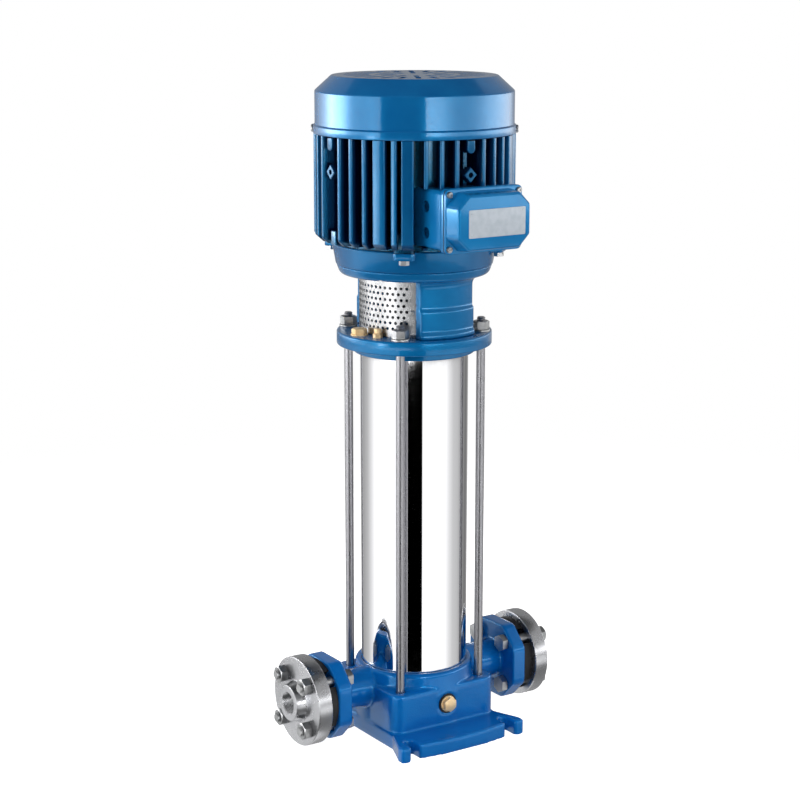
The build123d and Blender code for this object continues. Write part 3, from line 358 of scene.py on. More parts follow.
def enamel(name, colour, thin, peel=2.5, grain=0.9, grainDepth=0.2, gloss=0.2, recess=None):
    # Gloss alkyd enamel sprayed on a casting or pressing: a wet-looking clear skin with slight orange peel over a
    # deep blue, a little lighter where the film is thin, and dull, with painted shade that darkens it deep between
    # fins.
    material, tree, shader, where = startMaterial(name, IOR=1.9, Specular_Tint=linear("#2fc0ff"), Coat_Weight=0.45,
                                                  Coat_Roughness=0.07, Coat_IOR=1.5)
    film = addNode(tree, "TexNoise", {"Vector": where, "Scale": perMm(38), "Detail": 3.0})
    blue = addNode(tree, "ValToRGB", {"Fac": film}, stops={0.35: colour, 0.7: thin})
    # painted shade: towards the shaft the colour turns to the given dark one, fully inside the first radius and not at
    # all past the second, standing for the shade deep between the fins
    if recess:
        flat = addNode(tree, "VectorMath", {0: where, 1: (1, 1, 0)}, operation="MULTIPLY")
        reach = addNode(tree, "VectorMath", {0: flat}, operation="LENGTH").outputs["Value"]
        depth = addNode(tree, "MapRange", {"Value": reach, "From Min": recess[0] * mm, "From Max": recess[1] * mm})
        blue = addNode(tree, "Mix", {0: depth, 6: linear(recess[2]), 7: blue}, data_type="RGBA").outputs[2]
    rough = addNode(tree, "TexNoise", {"Vector": where, "Scale": perMm(9), "Detail": 2.0})
    sheen = addNode(tree, "MapRange", {"Value": rough, "To Min": gloss - 0.05, "To Max": gloss + 0.07})
    peelNoise = addNode(tree, "TexNoise", {"Vector": where, "Scale": perMm(peel), "Detail": 1.0})
    peelBump = addNode(tree, "Bump", {"Height": peelNoise, "Strength": 0.25, "Distance": 0.16 * mm})
    grainNoise = addNode(tree, "TexNoise", {"Vector": where, "Scale": perMm(grain), "Detail": 2.0})
    grainBump = addNode(tree, "Bump", {"Height": grainNoise, "Strength": 0.5, "Distance": grainDepth * mm,
                                       "Normal": peelBump})
    join(tree, shader, {"Base Color": blue, "Roughness": sheen, "Normal": grainBump, "Coat Normal": peelBump})
    return material


def drawnSteel(name, colour, rough, spread, along=(1, 1, 0.01), streak=0.5, bump=0.2, mottle=None, metallic=1.0):
    # Bright metal with its working marks: fine streaks along the way it was drawn, rolled or polished. They are
    # drawn at about half a millimetre, coarser than the real marks, so that they show at all.
    material, tree, shader, where = startMaterial(name, Metallic=metallic)
    stretched = addNode(tree, "Mapping", {"Vector": where, "Scale": along})
    marks = addNode(tree, "TexNoise", {"Vector": stretched, "Scale": perMm(streak), "Detail": 3.0})
    cloud = addNode(tree, "TexNoise", {"Vector": where, "Scale": perMm(14), "Detail": 2.0})
    both = addNode(tree, "Math", {0: marks, 1: cloud}, operation="MULTIPLY")
    level = addNode(tree, "MapRange", {"Value": both, "From Min": 0.1, "From Max": 0.45, "To Min": rough,
                                       "To Max": rough + spread})
    tone = addNode(tree, "ValToRGB", {"Fac": cloud}, stops={0.35: mottle or colour, 0.6: colour})
    relief = addNode(tree, "Bump", {"Height": marks, "Strength": bump, "Distance": 0.02 * mm})
    join(tree, shader, {"Base Color": tone, "Roughness": level, "Normal": relief})
    return material


def turnedSteel(name, colour, rough, centre, pitch=0.9):
    # Stainless steel faced in a lathe: fine rings round the port's axis that pull the highlights into arcs.
    material, tree, shader, where = startMaterial(name, Metallic=1.0, Base_Color=linear(colour))
    moved = addNode(tree, "Mapping", {"Vector": where, "Location": (0, 0, -centre * mm)})
    rings = addNode(tree, "TexWave", {"Vector": moved, "Scale": tau / 20 / (pitch * mm), "Distortion": 0.4,
                                      "Detail": 1.0}, wave_type="RINGS", rings_direction="X")
    cloud = addNode(tree, "TexNoise", {"Vector": where, "Scale": perMm(12), "Detail": 3.0})
    level = addNode(tree, "MapRange", {"Value": cloud, "To Min": rough - 0.06, "To Max": rough + 0.1})
    relief = addNode(tree, "Bump", {"Height": rings.outputs["Fac"], "Strength": 0.12, "Distance": 0.02 * mm})
    join(tree, shader, {"Roughness": level, "Normal": relief})
    return material


def dull(name, colour, other, rough, size, bump=0.3, metallic=0.0, layers=None):
    # Plain solid stuff: its colour drifts between two tones at the given size, with a matching fine relief.
    material, tree, shader, where = startMaterial(name, Metallic=metallic)
    if layers:
        where = addNode(tree, "Mapping", {"Vector": where, "Scale": layers})
    cloud = addNode(tree, "TexNoise", {"Vector": where, "Scale": perMm(size), "Detail": 3.0})
    tone = addNode(tree, "ValToRGB", {"Fac": cloud}, stops={0.35: colour, 0.65: other})
    level = addNode(tree, "MapRange", {"Value": cloud, "To Min": rough - 0.06, "To Max": rough + 0.06})
    relief = addNode(tree, "Bump", {"Height": cloud, "Strength": bump, "Distance": 0.1 * mm})
    join(tree, shader, {"Base Color": tone, "Roughness": level, "Normal": relief})
    return material


# grainier over sand castings, smoothest over sheet
baseEnamel = enamel("blue_enamel_on_sand_cast_iron", "#0361b2", "#0769ba", grain=1.6, grainDepth=0.3)
castEnamel = enamel("blue_enamel_on_cast_iron", "#085f98", "#0c68a2", grain=1.6, grainDepth=0.3)
shieldEnamel = enamel("blue_enamel_on_machined_shield", "#08578f", "#0d619b", grain=1.1)
# the motor frame's enamel carries painted shade: dark navy inside 107 mm radius, fading out by 119 mm, between the fins
motorEnamel = enamel("blue_enamel_on_cast_aluminium_with_painted_fin_shade", "#08538c", "#0d5e98", grain=1.1,
                     recess=(107, 119, "#040a28"))
sheetEnamel = enamel("blue_enamel_on_pressed_steel", "#085690", "#0d609a", peel=3.5, grainDepth=0.06)
boxEnamel = enamel("blue_enamel_on_die_casting", "#0a69a6", "#1072b0", grainDepth=0.1)
# the entry plugs' enamel is darker than the box's: painted shade standing for the shade in the recessed cable entries
plugEnamelWithPaintedShade = enamel("blue_enamel_on_screw_plug_darkened_as_painted_shade", "#04365c", "#06416b", grainDepth=0.1)
# tube like a mirror, greyer rods, silky sheet, soft zinc, even ground faces, pale brass with a dull skin
mirrorSteel = drawnSteel("mirror_polished_stainless_tube", "#e4e4e6", 0.03, 0.03, streak=0.7, bump=0.05)
rodSteel = drawnSteel("drawn_stainless_bar", "#a3a3a7", 0.24, 0.16)
sheetSteel = drawnSteel("pressed_stainless_sheet", "#b5b6b8", 0.22, 0.16, along=(1, 1, 0.05), streak=0.8)
zincSteel = drawnSteel("zinc_plated_steel", "#c2c3c4", 0.28, 0.2, along=(1, 1, 1), streak=1.6, bump=0.15,
                       mottle="#a5a7a8")
groundSteel = drawnSteel("ground_steel", "#a2a3a6", 0.2, 0.12, along=(0.1, 0.1, 1), streak=0.6)
brassMetal = drawnSteel("machined_brass", "#f8dcb0", 0.3, 0.16, along=(1, 1, 1), streak=1.2, mottle="#ecc78f",
                        metallic=0.55)
flangeSteel = turnedSteel("turned_stainless_flange", "#c6c7ca", 0.26, 58)
# the plain ones: soft black rubber, satin plate, dark iron, grey edges of sheets, warm wire, black plastic, grey stone
blackRubber = dull("black_rubber_sheet", "#101011", "#1a1a1b", 0.6, 1.2)
silverPlate = dull("satin_anodised_plate", "#a9b2bb", "#b6bec6", 0.4, 8, bump=0.1, metallic=0.4)
greyCasting = dull("machined_grey_iron", "#5c5d60", "#6f7073", 0.45, 2, metallic=0.8)
stackedSheet = dull("stacked_electrical_sheet", "#3a3b3e", "#55565a", 0.5, 1.6, metallic=0.7, layers=(0.05, 0.05, 1))
woundCopper = dull("varnished_copper_winding", "#7e3f1e", "#b4683a", 0.35, 2.2, layers=(1, 1, 0.3))
blackPlastic = dull("moulded_black_plastic", "#141416", "#1f1f22", 0.45, 1.0, bump=0.2)
greyCarbide = dull("lapped_carbide", "#3d3e41", "#4a4b4e", 0.22, 0.8, bump=0.05)
print("materials made")


# Base casting: foot plate, pillars, bowl, necks and square flanges grown together with cast fillets
baseSet = {"footHeight": 18, "halfWidth": 86, "halfDepth": 108, "waist": 73, "slotX": 67, "slotY": 91.5, "slot": 6.5,
           "pillarHalf": 71.5, "pillarCorner": 16, "pillarTop": 65, "bowl": 73, "shoulder": 57, "collar": 69,
           "collarTop": 82.5, "drainHeight": 44.5, "portHeight": 58, "neck": 22.5, "portBore": 13.5, "flangeFrom": 115,
           "flangeTo": 133, "flangeHalf": 46.5, "flangeCut": 24, "flangeCorner": 12, "boltPitch": 53, "boltHole": 6.5,
           "rodPitch": 111, "rodBore": 5, "voxel": 1.5}
b = baseSet
slotX, slotY, slotR, portHeight = b["slotX"], b["slotY"], b["slot"], b["portHeight"]
quarterFoot = np.array([(0, -b["halfDepth"] - 3), (30, -b["halfDepth"] - 2), (slotX - slotR, -b["halfDepth"] + 2),
                        (slotX - slotR, -slotY), (slotX - 0.7 * slotR, -slotY + 0.7 * slotR), (slotX, -slotY + slotR),
                        (slotX + 0.7 * slotR, -slotY + 0.7 * slotR), (slotX + slotR, -slotY),
                        (slotX + slotR, -b["halfDepth"]), (b["halfWidth"], -b["halfDepth"]), (b["halfWidth"], -98),
                        (b["waist"], -66), (b["waist"], 0)])
halfFoot = np.concatenate([quarterFoot, (quarterFoot * (1, -1))[::-1][1:]])
footOutline = softCorners(np.concatenate([halfFoot, (halfFoot * (-1, 1))[::-1][1:-1]]), 2.5, 3)
bowlProfile = [(0, 10), (b["bowl"], 10), (b["bowl"], b["shoulder"]), (b["collar"] + 0.8, b["collarTop"] - 2),
               (b["collar"] - 1, b["collarTop"]), (0, b["collarTop"])]
baseParts = [slab(footOutline, 0, b["footHeight"], 0, 2),
             slab(rectangle(2 * b["pillarHalf"], 2 * b["pillarHalf"], b["pillarCorner"], steps=8),
                  b["footHeight"] - 4, b["pillarTop"], 0, 2.5), turned(bowlProfile, 160)]
holeGrid, rodGrid = ([(x, y) for x in (-half, half) for y in (-half, half)]
                     for half in (b["boltPitch"] / 2, b["rodPitch"] / 2))


def boltHoles(side, start, radius, low, high, steps):
    # a cutter for each of a port's four bolts, from low to high off the start
    return [sideways(slab(ring(radius, steps, x, y), low, high), side, start, z=portHeight) for x, y in holeGrid]


def onRods(part):
    # the part on each of the four tie rods
    return [placed(part, (x, y, 0)) for x, y in rodGrid]


baseCutters = [turned([(0, 22), (42, 22), (42, 78), (52, 78), (52, 79.5), (60.75, 79.5), (60.75, 76), (62.75, 76),
                       (62.75, 100), (0, 100)], 128),
               frontal(slab(ring(13.5), 0, 10), -71.5, z=b["drainHeight"]),
               frontal(slab(ring(6.2), -33, 5), -72, z=b["drainHeight"])]
for side in (-1, 1):
    neck = np.array([(0, 50), (b["neck"] + 4, 50), (b["neck"] + 1.5, 74), (b["neck"], 88), (b["neck"], 112), (0, 112)])
    baseParts.append(sideways(turned(neck, 96), side, z=portHeight))
    plate = rectangle(2 * b["flangeHalf"], 2 * b["flangeHalf"], b["flangeCorner"], cut=b["flangeCut"])
    baseParts.append(sideways(slab(plate, 0, b["flangeTo"] - b["flangeFrom"], 1, 1), side, b["flangeFrom"],
                              z=portHeight))
    baseCutters.append(sideways(slab(ring(b["portBore"]), 0, 160), side, 38 if side < 0 else 55, z=portHeight))
    baseCutters += boltHoles(side, b["flangeFrom"], b["boltHole"], -5, 30, 24)
baseCutters += onRods(slab(ring(b["rodBore"], 24), 35, 100))
newPiece("baseCasting", baseParts, baseEnamel, "base_casting", cutters=baseCutters,
         voxel=b["voxel"])
print("base casting made")

# Drain plug in its ring, ports with gaskets, loose flanges, bolts and nuts
drainSet = {"seat": -71.5, "face": -73, "collar": 9.7, "flats": 15.5, "head": 6.6, "stem": 6}
d = drainSet
newPiece("drainSeal", [frontal(turned([(6, 0), (11.8, 0), (11.8, 1.5), (6, 1.5)], 64), d["seat"], z=b["drainHeight"])],
         blackRubber, "drain_seal")
newPiece("drainPlug", [frontal(turned(softCorners([(0, 0), (d["collar"], 0), (d["collar"], 1.6), (0, 1.6)],
                                                  [0, 0.3, 0.5, 0]), 64), d["face"], z=b["drainHeight"]),
                       frontal(hexBody(d["flats"], 1.4, d["head"]), d["face"], z=b["drainHeight"]),
                       frontal(turned([(0, -16), (5.2, -16), (d["stem"], -15), (d["stem"], 0.5), (0, 0.5)], 48),
                               d["face"], z=b["drainHeight"])], brassMetal, "drain_plug")
portSet = {"gasketFrom": 133, "gasketThick": 12, "gasketRadius": 45, "scallop": 12, "flangeFrom": 145,
           "flangeThick": 18, "radius": 52.5, "hub": 24, "hubReach": 11.7, "bore": 12.05, "threadPitch": 1.8,
           "boltRadius": 6, "boltFlats": 18, "boltReach": 61, "headHeight": 8, "nutHeight": 10}
p = portSet
for side, word in ((-1, "suction"), (1, "discharge")):
    scallops = boltHoles(side, p["gasketFrom"], p["scallop"], -1, p["gasketThick"] + 2, 40)
    edge = [(b["portBore"], 0), (p["gasketRadius"], 0), (p["gasketRadius"], p["gasketThick"]),
            (b["portBore"], p["gasketThick"])]
    newPiece(word + "Gasket", [sideways(turned(softCorners(edge, 0.6, 3), 160), side, p["gasketFrom"], z=portHeight)],
             blackRubber, word + "_gasket", cutters=scallops)
    t, hub = p["flangeThick"], p["hubReach"]
    turns = np.arange(0, t + hub - 1.6, p["threadPitch"] / 2)
    threadRadius = p["bore"] + np.where(np.arange(len(turns)) % 2 == 0, 0.0, 0.9)
    bore = np.column_stack([threadRadius, t + hub - 1.2 - turns])
    body = softCorners([(p["bore"], 0), (p["radius"], 0), (p["radius"], t), (p["hub"], t), (p["hub"] - 3, t + hub),
                        (p["bore"] + 1.2, t + hub)], [0, 1.2, 1.2, 1.5, 1.2, 0])
    disc = turned(np.concatenate([body, bore]), 160)
    holes = boltHoles(side, p["flangeFrom"], b["boltHole"], -3, t + 4, 32)
    newPiece(word + "Flange", [sideways(disc, side, p["flangeFrom"], z=portHeight)], flangeSteel,
             word + "_flange", cutters=holes)
bolts, nuts = [], []
for side in (-1, 1):
    for y, z in holeGrid:
        across = {"y": side * y, "z": portHeight + z}
        bolts += [sideways(hexBody(p["boltFlats"], 0, p["headHeight"]), side, b["flangeFrom"] - p["headHeight"],
                           **across), sideways(stud(p["boltRadius"], 0, p["boltReach"], 41), side,
                                              b["flangeFrom"], **across)]
        nuts.append(sideways(hexBody(p["boltFlats"], 0, p["nutHeight"], 5.4, True), side,
                             p["flangeFrom"] + p["flangeThick"], **across))
newPiece("flangeBolts", bolts, zincSteel, "flange_bolts", crease=28)
newPiece("flangeNuts", nuts, zincSteel, "flange_nuts", crease=28)

# Sleeve and tie rods
sleeveSet = {"radius": 62.75, "wall": 2, "low": 79, "high": 470}
s = sleeveSet
newPiece("outerSleeve", [turned([(s["radius"] - s["wall"], s["low"]), (s["radius"], s["low"]),
                                 *[(s["radius"], z) for z in range(100, 460, 40)], (s["radius"], s["high"]),
                                 (s["radius"] - s["wall"], s["high"])], 256)], mirrorSteel,
         "outer_sleeve")
rodSet = {"radius": 5, "low": 35, "high": 499, "headTop": 482, "washer": 10.5, "washerTop": 484.5, "flats": 17,
          "nutTop": 494.5}
r = rodSet
newPiece("tieRods", onRods(stud(r["radius"], r["low"], r["high"], r["nutTop"])), rodSteel, "tie_rods")
washer = softCorners([(5.2, r["headTop"]), (r["washer"], r["headTop"]), (r["washer"], r["washerTop"]),
                      (5.2, r["washerTop"])], 0.4, 2)
newPiece("tieRodWashers", onRods(turned(washer, 48)), zincSteel, "tie_rod_washers")
newPiece("tieRodNuts", onRods(hexBody(r["flats"], r["washerTop"], r["nutTop"], 4.4, True)), zincSteel,
         "tie_rod_nuts", crease=28)
print("lower pump made")

# Pump head with its plugs
headSet = {"low": 466, "top": 482, "radius": 90, "collar": 70.5, "collarLow": 457, "priming": (-75, 0),
           "vent": (-66, -25)}
h = headSet
priming, vent = (*h["priming"], h["top"]), (*h["vent"], h["top"])
headProfile = softCorners([(14, h["low"]), (60.6, h["low"]), (60.6, 473), (62.9, 473), (62.9, h["collarLow"]),
                           (h["collar"], h["collarLow"]), (h["collar"], h["low"]), (h["radius"], h["low"]),
                           (h["radius"], h["top"]), (14, h["top"])], [0, 0, 0, 0, 0, 1.2, 1.5, 1.6, 2.2, 0])
newPiece("pumpHead", [turned(headProfile, 192)], castEnamel, "pump_head",
         cutters=[placed(slab(ring(8.1, 32), -7, 3), priming), placed(slab(ring(3.6, 24), -7, 3), vent)]
         + onRods(slab(ring(5.3, 32), h["top"] - 30, h["top"] + 3)))
newPiece("primingPlug", [placed(turned(softCorners([(0, -2.5), (7.9, -2.5), (7.9, 0), (10, 0), (10, 1.7), (0, 1.7)],
                                                   [0, 0, 0, 0.2, 0.5, 0]), 64), priming),
                         placed(hexBody(15.5, 1.5, 8), priming)], brassMetal, "priming_plug")
newPiece("ventSeat", [placed(hexBody(9.7, 0, 5, 2.05), vent),
                      placed(turned([(2.05, -2.5), (3.5, -2.5), (3.5, 0.2), (2.05, 0.2)], 32), vent)],
         brassMetal, "vent_seat")
newPiece("ventScrew", [placed(screwHead(4.2, 5, slotRadius(7.4, 1.2), 2), (*h["vent"], h["top"] + 5.3)),
                       placed(turned([(0, -2), (2, -2), (2, 5.5), (0, 5.5)], 32), vent)], brassMetal,
         "vent_screw", body="vent_screw")

# Motor stool with two columns, and the perforated guards between them
stoolSet = {"wall": 75, "lower": 77, "foot": 79, "inner": 68, "columnHalf": 36.5, "step": 515, "flangeFrom": 548.5,
            "flangeTo": 560, "flangeRadius": 90, "guardStart": 32, "screwHeight": 511, "voxel": 1.35}
s = stoolSet
flare = np.radians(np.linspace(180, 90, 9))
wallProfile = np.array([(s["inner"], 482), (s["foot"], 482), (s["foot"], 488), (s["lower"], 490),
                        (s["lower"], s["step"] - 0.8), (s["wall"], s["step"] + 0.8), (s["wall"], 540.5)]
                       + list(zip(83 + 8 * np.cos(flare), 540.5 + 8 * np.sin(flare))) + [(83, 550), (68, 550)])
flangeProfile = softCorners([(45, s["flangeFrom"]), (s["flangeRadius"] - 4.2, s["flangeFrom"]),
                             (s["flangeRadius"], s["flangeTo"]), (45, s["flangeTo"])], [0, 6, 0.6, 0], 6)
stoolParts = [turned(wallProfile, 160), turned([(52, 482), (62.4, 482), (62.4, 487), (52, 487)], 128),
              turned(flangeProfile, 192)]
stoolParts += [placed(slab(rectangle(60, 15), 0, 5), (0, y, 482)) for y in (-65, 65)]
# lugs for the guards' screws
stoolParts += [outwards(slab(rectangle(9, 16), 0, depth), column + side * turn, s["screwHeight"], 58)
               for column in (270, 90) for side in (-1, 1)
               for turn, depth in ((s["guardStart"] - 5, 12), (s["guardStart"] + 3, 4.5))]
screwAngles = (30, 150, 210, 330)
# the side windows are taken out of the wall only, so the wall is carved before the rest joins it
wall = rawObject("wall", stoolParts[:1])
carve(wall, [placed(slab(rectangle(100, 210), 0, 69.5), (side * (50 + s["columnHalf"]), 0, 479))
             for side in (-1, 1)], False)
settle(wall)
wallPoints = np.empty((len(wall.data.vertices), 3))
wall.data.vertices.foreach_get("co", wallPoints.ravel())
wallFaces = [np.array([list(face.vertices)]) for face in wall.data.polygons]
bpy.data.objects.remove(wall)
newPiece("motorStool", [(wallPoints / mm, wallFaces)] + stoolParts[1:], castEnamel, "motor_stool",
         cutters=[slab(ring(6.7, 24, 78 * np.cos(np.radians(a)), 78 * np.sin(np.radians(a))), 540, 557)
                  for a in screwAngles], voxel=s["voxel"])
guardSet = {"radius": 63.7, "sheet": 1.0, "low": 482.5, "high": 548, "pitch": 6.6, "hole": 3.6, "margin": 5}
g = guardSet


def patch(xs, ys):
    # flat grid over every pair of an x and a y
    return gridPart(np.stack(np.meshgrid(xs, ys), -1), closeCols=False)


def guardSheet(middle):
    # staggered round holes: each square tile is a ring of faces between its border and its hole
    q = g["pitch"]
    arc = np.radians(180 - 2 * s["guardStart"]) * g["radius"]
    columns, rows = int((arc - 2 * g["margin"]) / q - 0.5), int((g["high"] - g["low"] - 2 * g["margin"]) / q)
    left, bottom = -(columns + 0.5) * q / 2, (g["low"] + g["high"]) / 2 - rows * q / 2
    around = np.arange(16) * tau / 16 + tau / 8
    edge = np.column_stack([np.array([2, 1, 0, -1]) * q / 4, np.full(4, q / 2)])
    border = np.concatenate([edge, edge[:, ::-1] * (-1, 1), -edge, edge[:, ::-1] * (1, -1)])
    hole = polar(g["hole"] / 2, around, 0)[:, :2]
    parts = []
    for row in range(rows):
        shift = 0.5 * (row % 2)
        for column in range(columns):
            centre = np.array([left + (column + 0.5 + shift) * q, bottom + (row + 0.5) * q])
            parts.append(gridPart(np.stack([border + centre, hole + centre])))
        bare = left + (0 if row % 2 else columns) * q
        parts.append(patch(bare + np.arange(3) * q / 4, bottom + (row + np.arange(5) / 4) * q))
    right, top = left + (columns + 0.5) * q, bottom + rows * q
    y = np.concatenate([[g["low"]], bottom + np.arange(rows * 4 + 1) * q / 4, [g["high"]]])
    x = left + np.arange(int((columns + 0.5) * 4) + 1) * q / 4
    parts += [patch(ends, y) for ends in ((-arc / 2, left), (right, arc / 2))]
    parts += [patch(x, ends) for ends in ((g["low"], bottom), (top, g["high"]))]
    return [(polar(g["radius"], np.radians(middle) + points[:, 0] / g["radius"], points[:, 1]), faces)
            for points, faces in parts]


for middle, word in ((180, "left"), (0, "right")):
    newPiece("guard" + word.title(), guardSheet(middle), sheetSteel, "guard_" + word,
             thickness=g["sheet"])
newPiece("guardScrews", [outwards(screwHead(3, 2, slotRadius(4.6, 0.8), 0.9), angle, s["screwHeight"], g["radius"])
                         for angle in (234.5, 305.5, 54.5, 125.5)], zincSteel, "guard_screws")
print("stool and guards made")

# Motor: drive-end bell, finned frame, fan cowl
bellSet = {"low": 560, "footRadius": 90.5, "radius": 94.5, "high": 584, "spigot": 588, "earLow": 576, "earRadius": 94,
           "earSize": 24, "screwRadius": 100}
m = bellSet
bellProfile = softCorners([(14.5, m["low"]), (m["footRadius"], m["low"]), (m["radius"], m["high"] - 1.5),
                           (94, m["high"]), (80, m["high"]), (80, m["spigot"]), (72, m["spigot"]), (72, 572),
                           (34, 572), (34, 580), (26, 580), (26, 563), (14.5, 563)], [0, 1.2, 0.5, 0.3] + [0] * 9)
earAngles = (230, 310, 50, 130)
bellParts = [turned(bellProfile, 192)]
bellParts += [upright(slab(rectangle(m["earSize"], m["earSize"], 4), m["earLow"], m["high"], 1.2, 0.6), angle,
                      m["earRadius"]) for angle in earAngles]
newPiece("motorEndBell", bellParts, shieldEnamel, "motor_end_bell")
frameSet = {"core": 88, "bore": 80, "low": 584, "finLow": 588, "high": 708, "tip": 114, "ribTip": 115, "root": 86,
            "halfTip": 2.5, "halfRoot": 4, "boxLow": 590.8, "boxHigh": 656.2, "boxSector": 31.5,
            "ribs": [(36.5, 14, 0), (45, 6.5, 1.3), (52.7, 13.4, 0)], "boss": 669.5, "bossHalf": 8.485, "bossReach": 25,
            "tab": 10, "tabLow": 693, "knee": 602, "slopeLow": 587, "slopeTip": 106, "slope": 13 / 11.4}
f = frameSet


def blade(angle, halfTip, halfRoot, tip, low, high, edge=2.0, lean=0.0):
    # rib that stands out from the core: rounded tip, cut back on the drive-end slope, carried up the shaft;
    # lean takes one side of its tip back, as a drawn pattern does
    knee = min(max(low, f["knee"]), high)
    heights = np.concatenate([np.linspace(low, knee, 9), np.linspace(knee, high, 7)])
    slope = np.minimum(tip, f["slopeTip"] + (heights - f["slopeLow"]) * f["slope"])
    rows = []
    for height, reach in zip(heights, slope):
        section = softCorners([(f["root"], -halfRoot), (reach - lean, -halfTip), (reach, halfTip),
                               (f["root"], halfRoot)], [0, min(edge, halfTip * 0.9), min(edge, halfTip * 0.9), 0], 4)
        rows.append(np.column_stack([section, np.full(len(section), height)]))
    return upright(gridPart(np.array(rows), caps=True), angle)


frameParts = [turned([(f["bore"], f["low"]), (f["core"], f["low"]), (f["core"], f["high"]), (f["bore"], f["high"])],
                     160)]
for angle in range(0, 360, 9):
    if angle % 90 in (0, 36, 45, 54):
        continue
    spans = [(f["finLow"], f["high"])]
    if abs(angle - 270) < f["boxSector"]:
        spans = [(f["finLow"], f["boxLow"]), (f["boxHigh"], f["high"])]
    frameParts += [blade(angle, f["halfTip"], f["halfRoot"], f["tip"], low, high) for low, high in spans]
for quarter in (0, 90, 180, 270):
    frameParts += [blade(quarter + angle, width / 2, width / 2, f["ribTip"], f["finLow"], f["high"], 1.2, lean)
                   for angle, width, lean in f["ribs"]]
    low = f["boxHigh"] if quarter == 270 else f["finLow"]
    frameParts.append(upright(slab(rectangle(14, 6, 1.5), low, f["high"], 0, 0), quarter, 94))
    tabDepth = f["high"] - f["tabLow"]
    tab = softCorners([(-f["tab"] / 2, 0), (-f["tab"] / 2, -tabDepth), (f["tab"] / 2, -tabDepth), (f["tab"] / 2, 0)],
                      [0, f["tab"] * 0.48, f["tab"] * 0.48, 0], 6)
    frameParts.append(outwards(slab(tab, 0, 26, 0, 1.2), quarter, f["high"], 87))
    if quarter != 270:
        frameParts.append(upright(slab(rectangle(22, 11, 2), f["finLow"], 604, 0, 1.2), quarter, 98))
    diamond = lambda t: f["bossHalf"] / (np.abs(np.cos(t)) + np.abs(np.sin(t)))
    small, reach = lambda t: diamond(t) * 0.9, f["bossReach"]
    frameParts.append(outwards(starHead([(0, 0), (diamond, 0), (diamond, reach - 0.8), (small, reach), (3, reach),
                                         (3, reach - 6), (0, reach - 6)]), quarter, f["boss"], 87))
earBlock = slab(rectangle(m["earSize"], m["earSize"] - 2, 3), f["low"], 606, 0.6, 1.5)
frameParts += [upright(earBlock, angle, m["earRadius"]) for angle in earAngles]
newPiece("motorFrame", frameParts, motorEnamel, "motor_frame")
newPiece("frameScrews", [upright(hexBody(10, 0, 5), angle, m["screwRadius"], m["earLow"] - 5) for angle in earAngles]
         + [upright(stud(3, m["earLow"] - 2, 598), angle, m["screwRadius"]) for angle in earAngles], zincSteel,
         "frame_screws", crease=28)
cowlSet = {"inner": 112, "bead": 115.4, "wall": 113.4, "low": 708.5, "beadTop": 717.7, "shoulder": 756,
           "topRadius": 94.4, "top": 773.3, "slot": 6, "slotSpan": (768, 776),
           "slotRings": ((24, 66, 30), (12, 34, 22)), "screwZ": 713, "screwAngles": (324, 54, 144)}
c = cowlSet
cowlProfile = softCorners([(c["inner"], c["low"]), (c["bead"], c["low"]), (c["bead"], c["beadTop"]),
                           (c["wall"], c["beadTop"] + 1), (c["wall"], c["shoulder"]), (c["topRadius"], c["top"]),
                           (0, c["top"]), (0, c["top"] - 1.5), (c["topRadius"] - 0.8, c["top"] - 1.5),
                           (c["inner"], c["shoulder"] - 0.9)], [0, 0.8, 1.2, 0.5, 2.5, 4, 0, 0, 3, 2], 6)
# two rings of slots: how many, their radius and length
slots = [upright(slab(rectangle(length, c["slot"], c["slot"] * 0.479), *c["slotSpan"]), 360 / count * k, radius)
         for count, radius, length in c["slotRings"] for k in range(count)]
newPiece("fanCowl", [turned(cowlProfile, 192)], sheetEnamel, "fan_cowl", cutters=slots, crease=30)
newPiece("cowlScrews", [outwards(screwHead(4.5, 2.4, slotRadius(6.4, 1.1), 1.2, 0.9), angle, c["screwZ"], c["bead"])
                        for angle in c["screwAngles"]], zincSteel, "cowl_screws")
print("motor made")

# Terminal box, cover and the bare plate
boxSet = {"half": 49, "wall": 4, "low": 591, "high": 656, "front": 133, "lipHalf": 51, "lipDepth": 7,
          "coverBase": 137.5, "coverFront": 158, "coverCut": 15, "draft": 2.15, "entryY": -97, "entry": 6.5,
          "entryHeights": (608, 637), "screwX": 46, "screwZ": 29.5, "plateX": 3, "plateZ": 622.5, "plateWidth": 75,
          "plateHeight": 30.5, "rivetX": 34, "rivetZ": 12}
t = boxSet
midHeight, boxHeight = (t["low"] + t["high"]) / 2, t["high"] - t["low"]
lip = rectangle(2 * t["lipHalf"], boxHeight + 6, 6)
boxParts = [frontal(slab(rectangle(2 * t["half"], boxHeight, 5), 60, t["front"], 0, 0), z=midHeight),
            frontal(slab(lip, t["front"] - t["lipDepth"], t["front"], 2.2, 0.6), z=midHeight)]
boxCutters = [turned([(0, 570), (88, 570), (88, 680), (0, 680)], 96),
              frontal(slab(rectangle(2 * (t["half"] - t["wall"]), boxHeight - 2 * t["wall"], 3), 92, 140), z=midHeight)]
boxCutters += [placed(slab(ring(t["entry"], 32), -6, 3), (-t["half"], t["entryY"], z), (0, -1, 0), (0, 0, 1))
               for z in t["entryHeights"]]
newPiece("terminalBox", boxParts, boxEnamel, "terminal_box", cutters=boxCutters)
slot = slotRadius(7, 1.4)
plug = starHead([(0, 1.4), (slot, 1.4), (slot, 2.6), (4.3, 2.6), (4.8, 2.1), (4.8, 0.6), (6.4, 0.6), (6.4, 0),
                 (0, 0)])
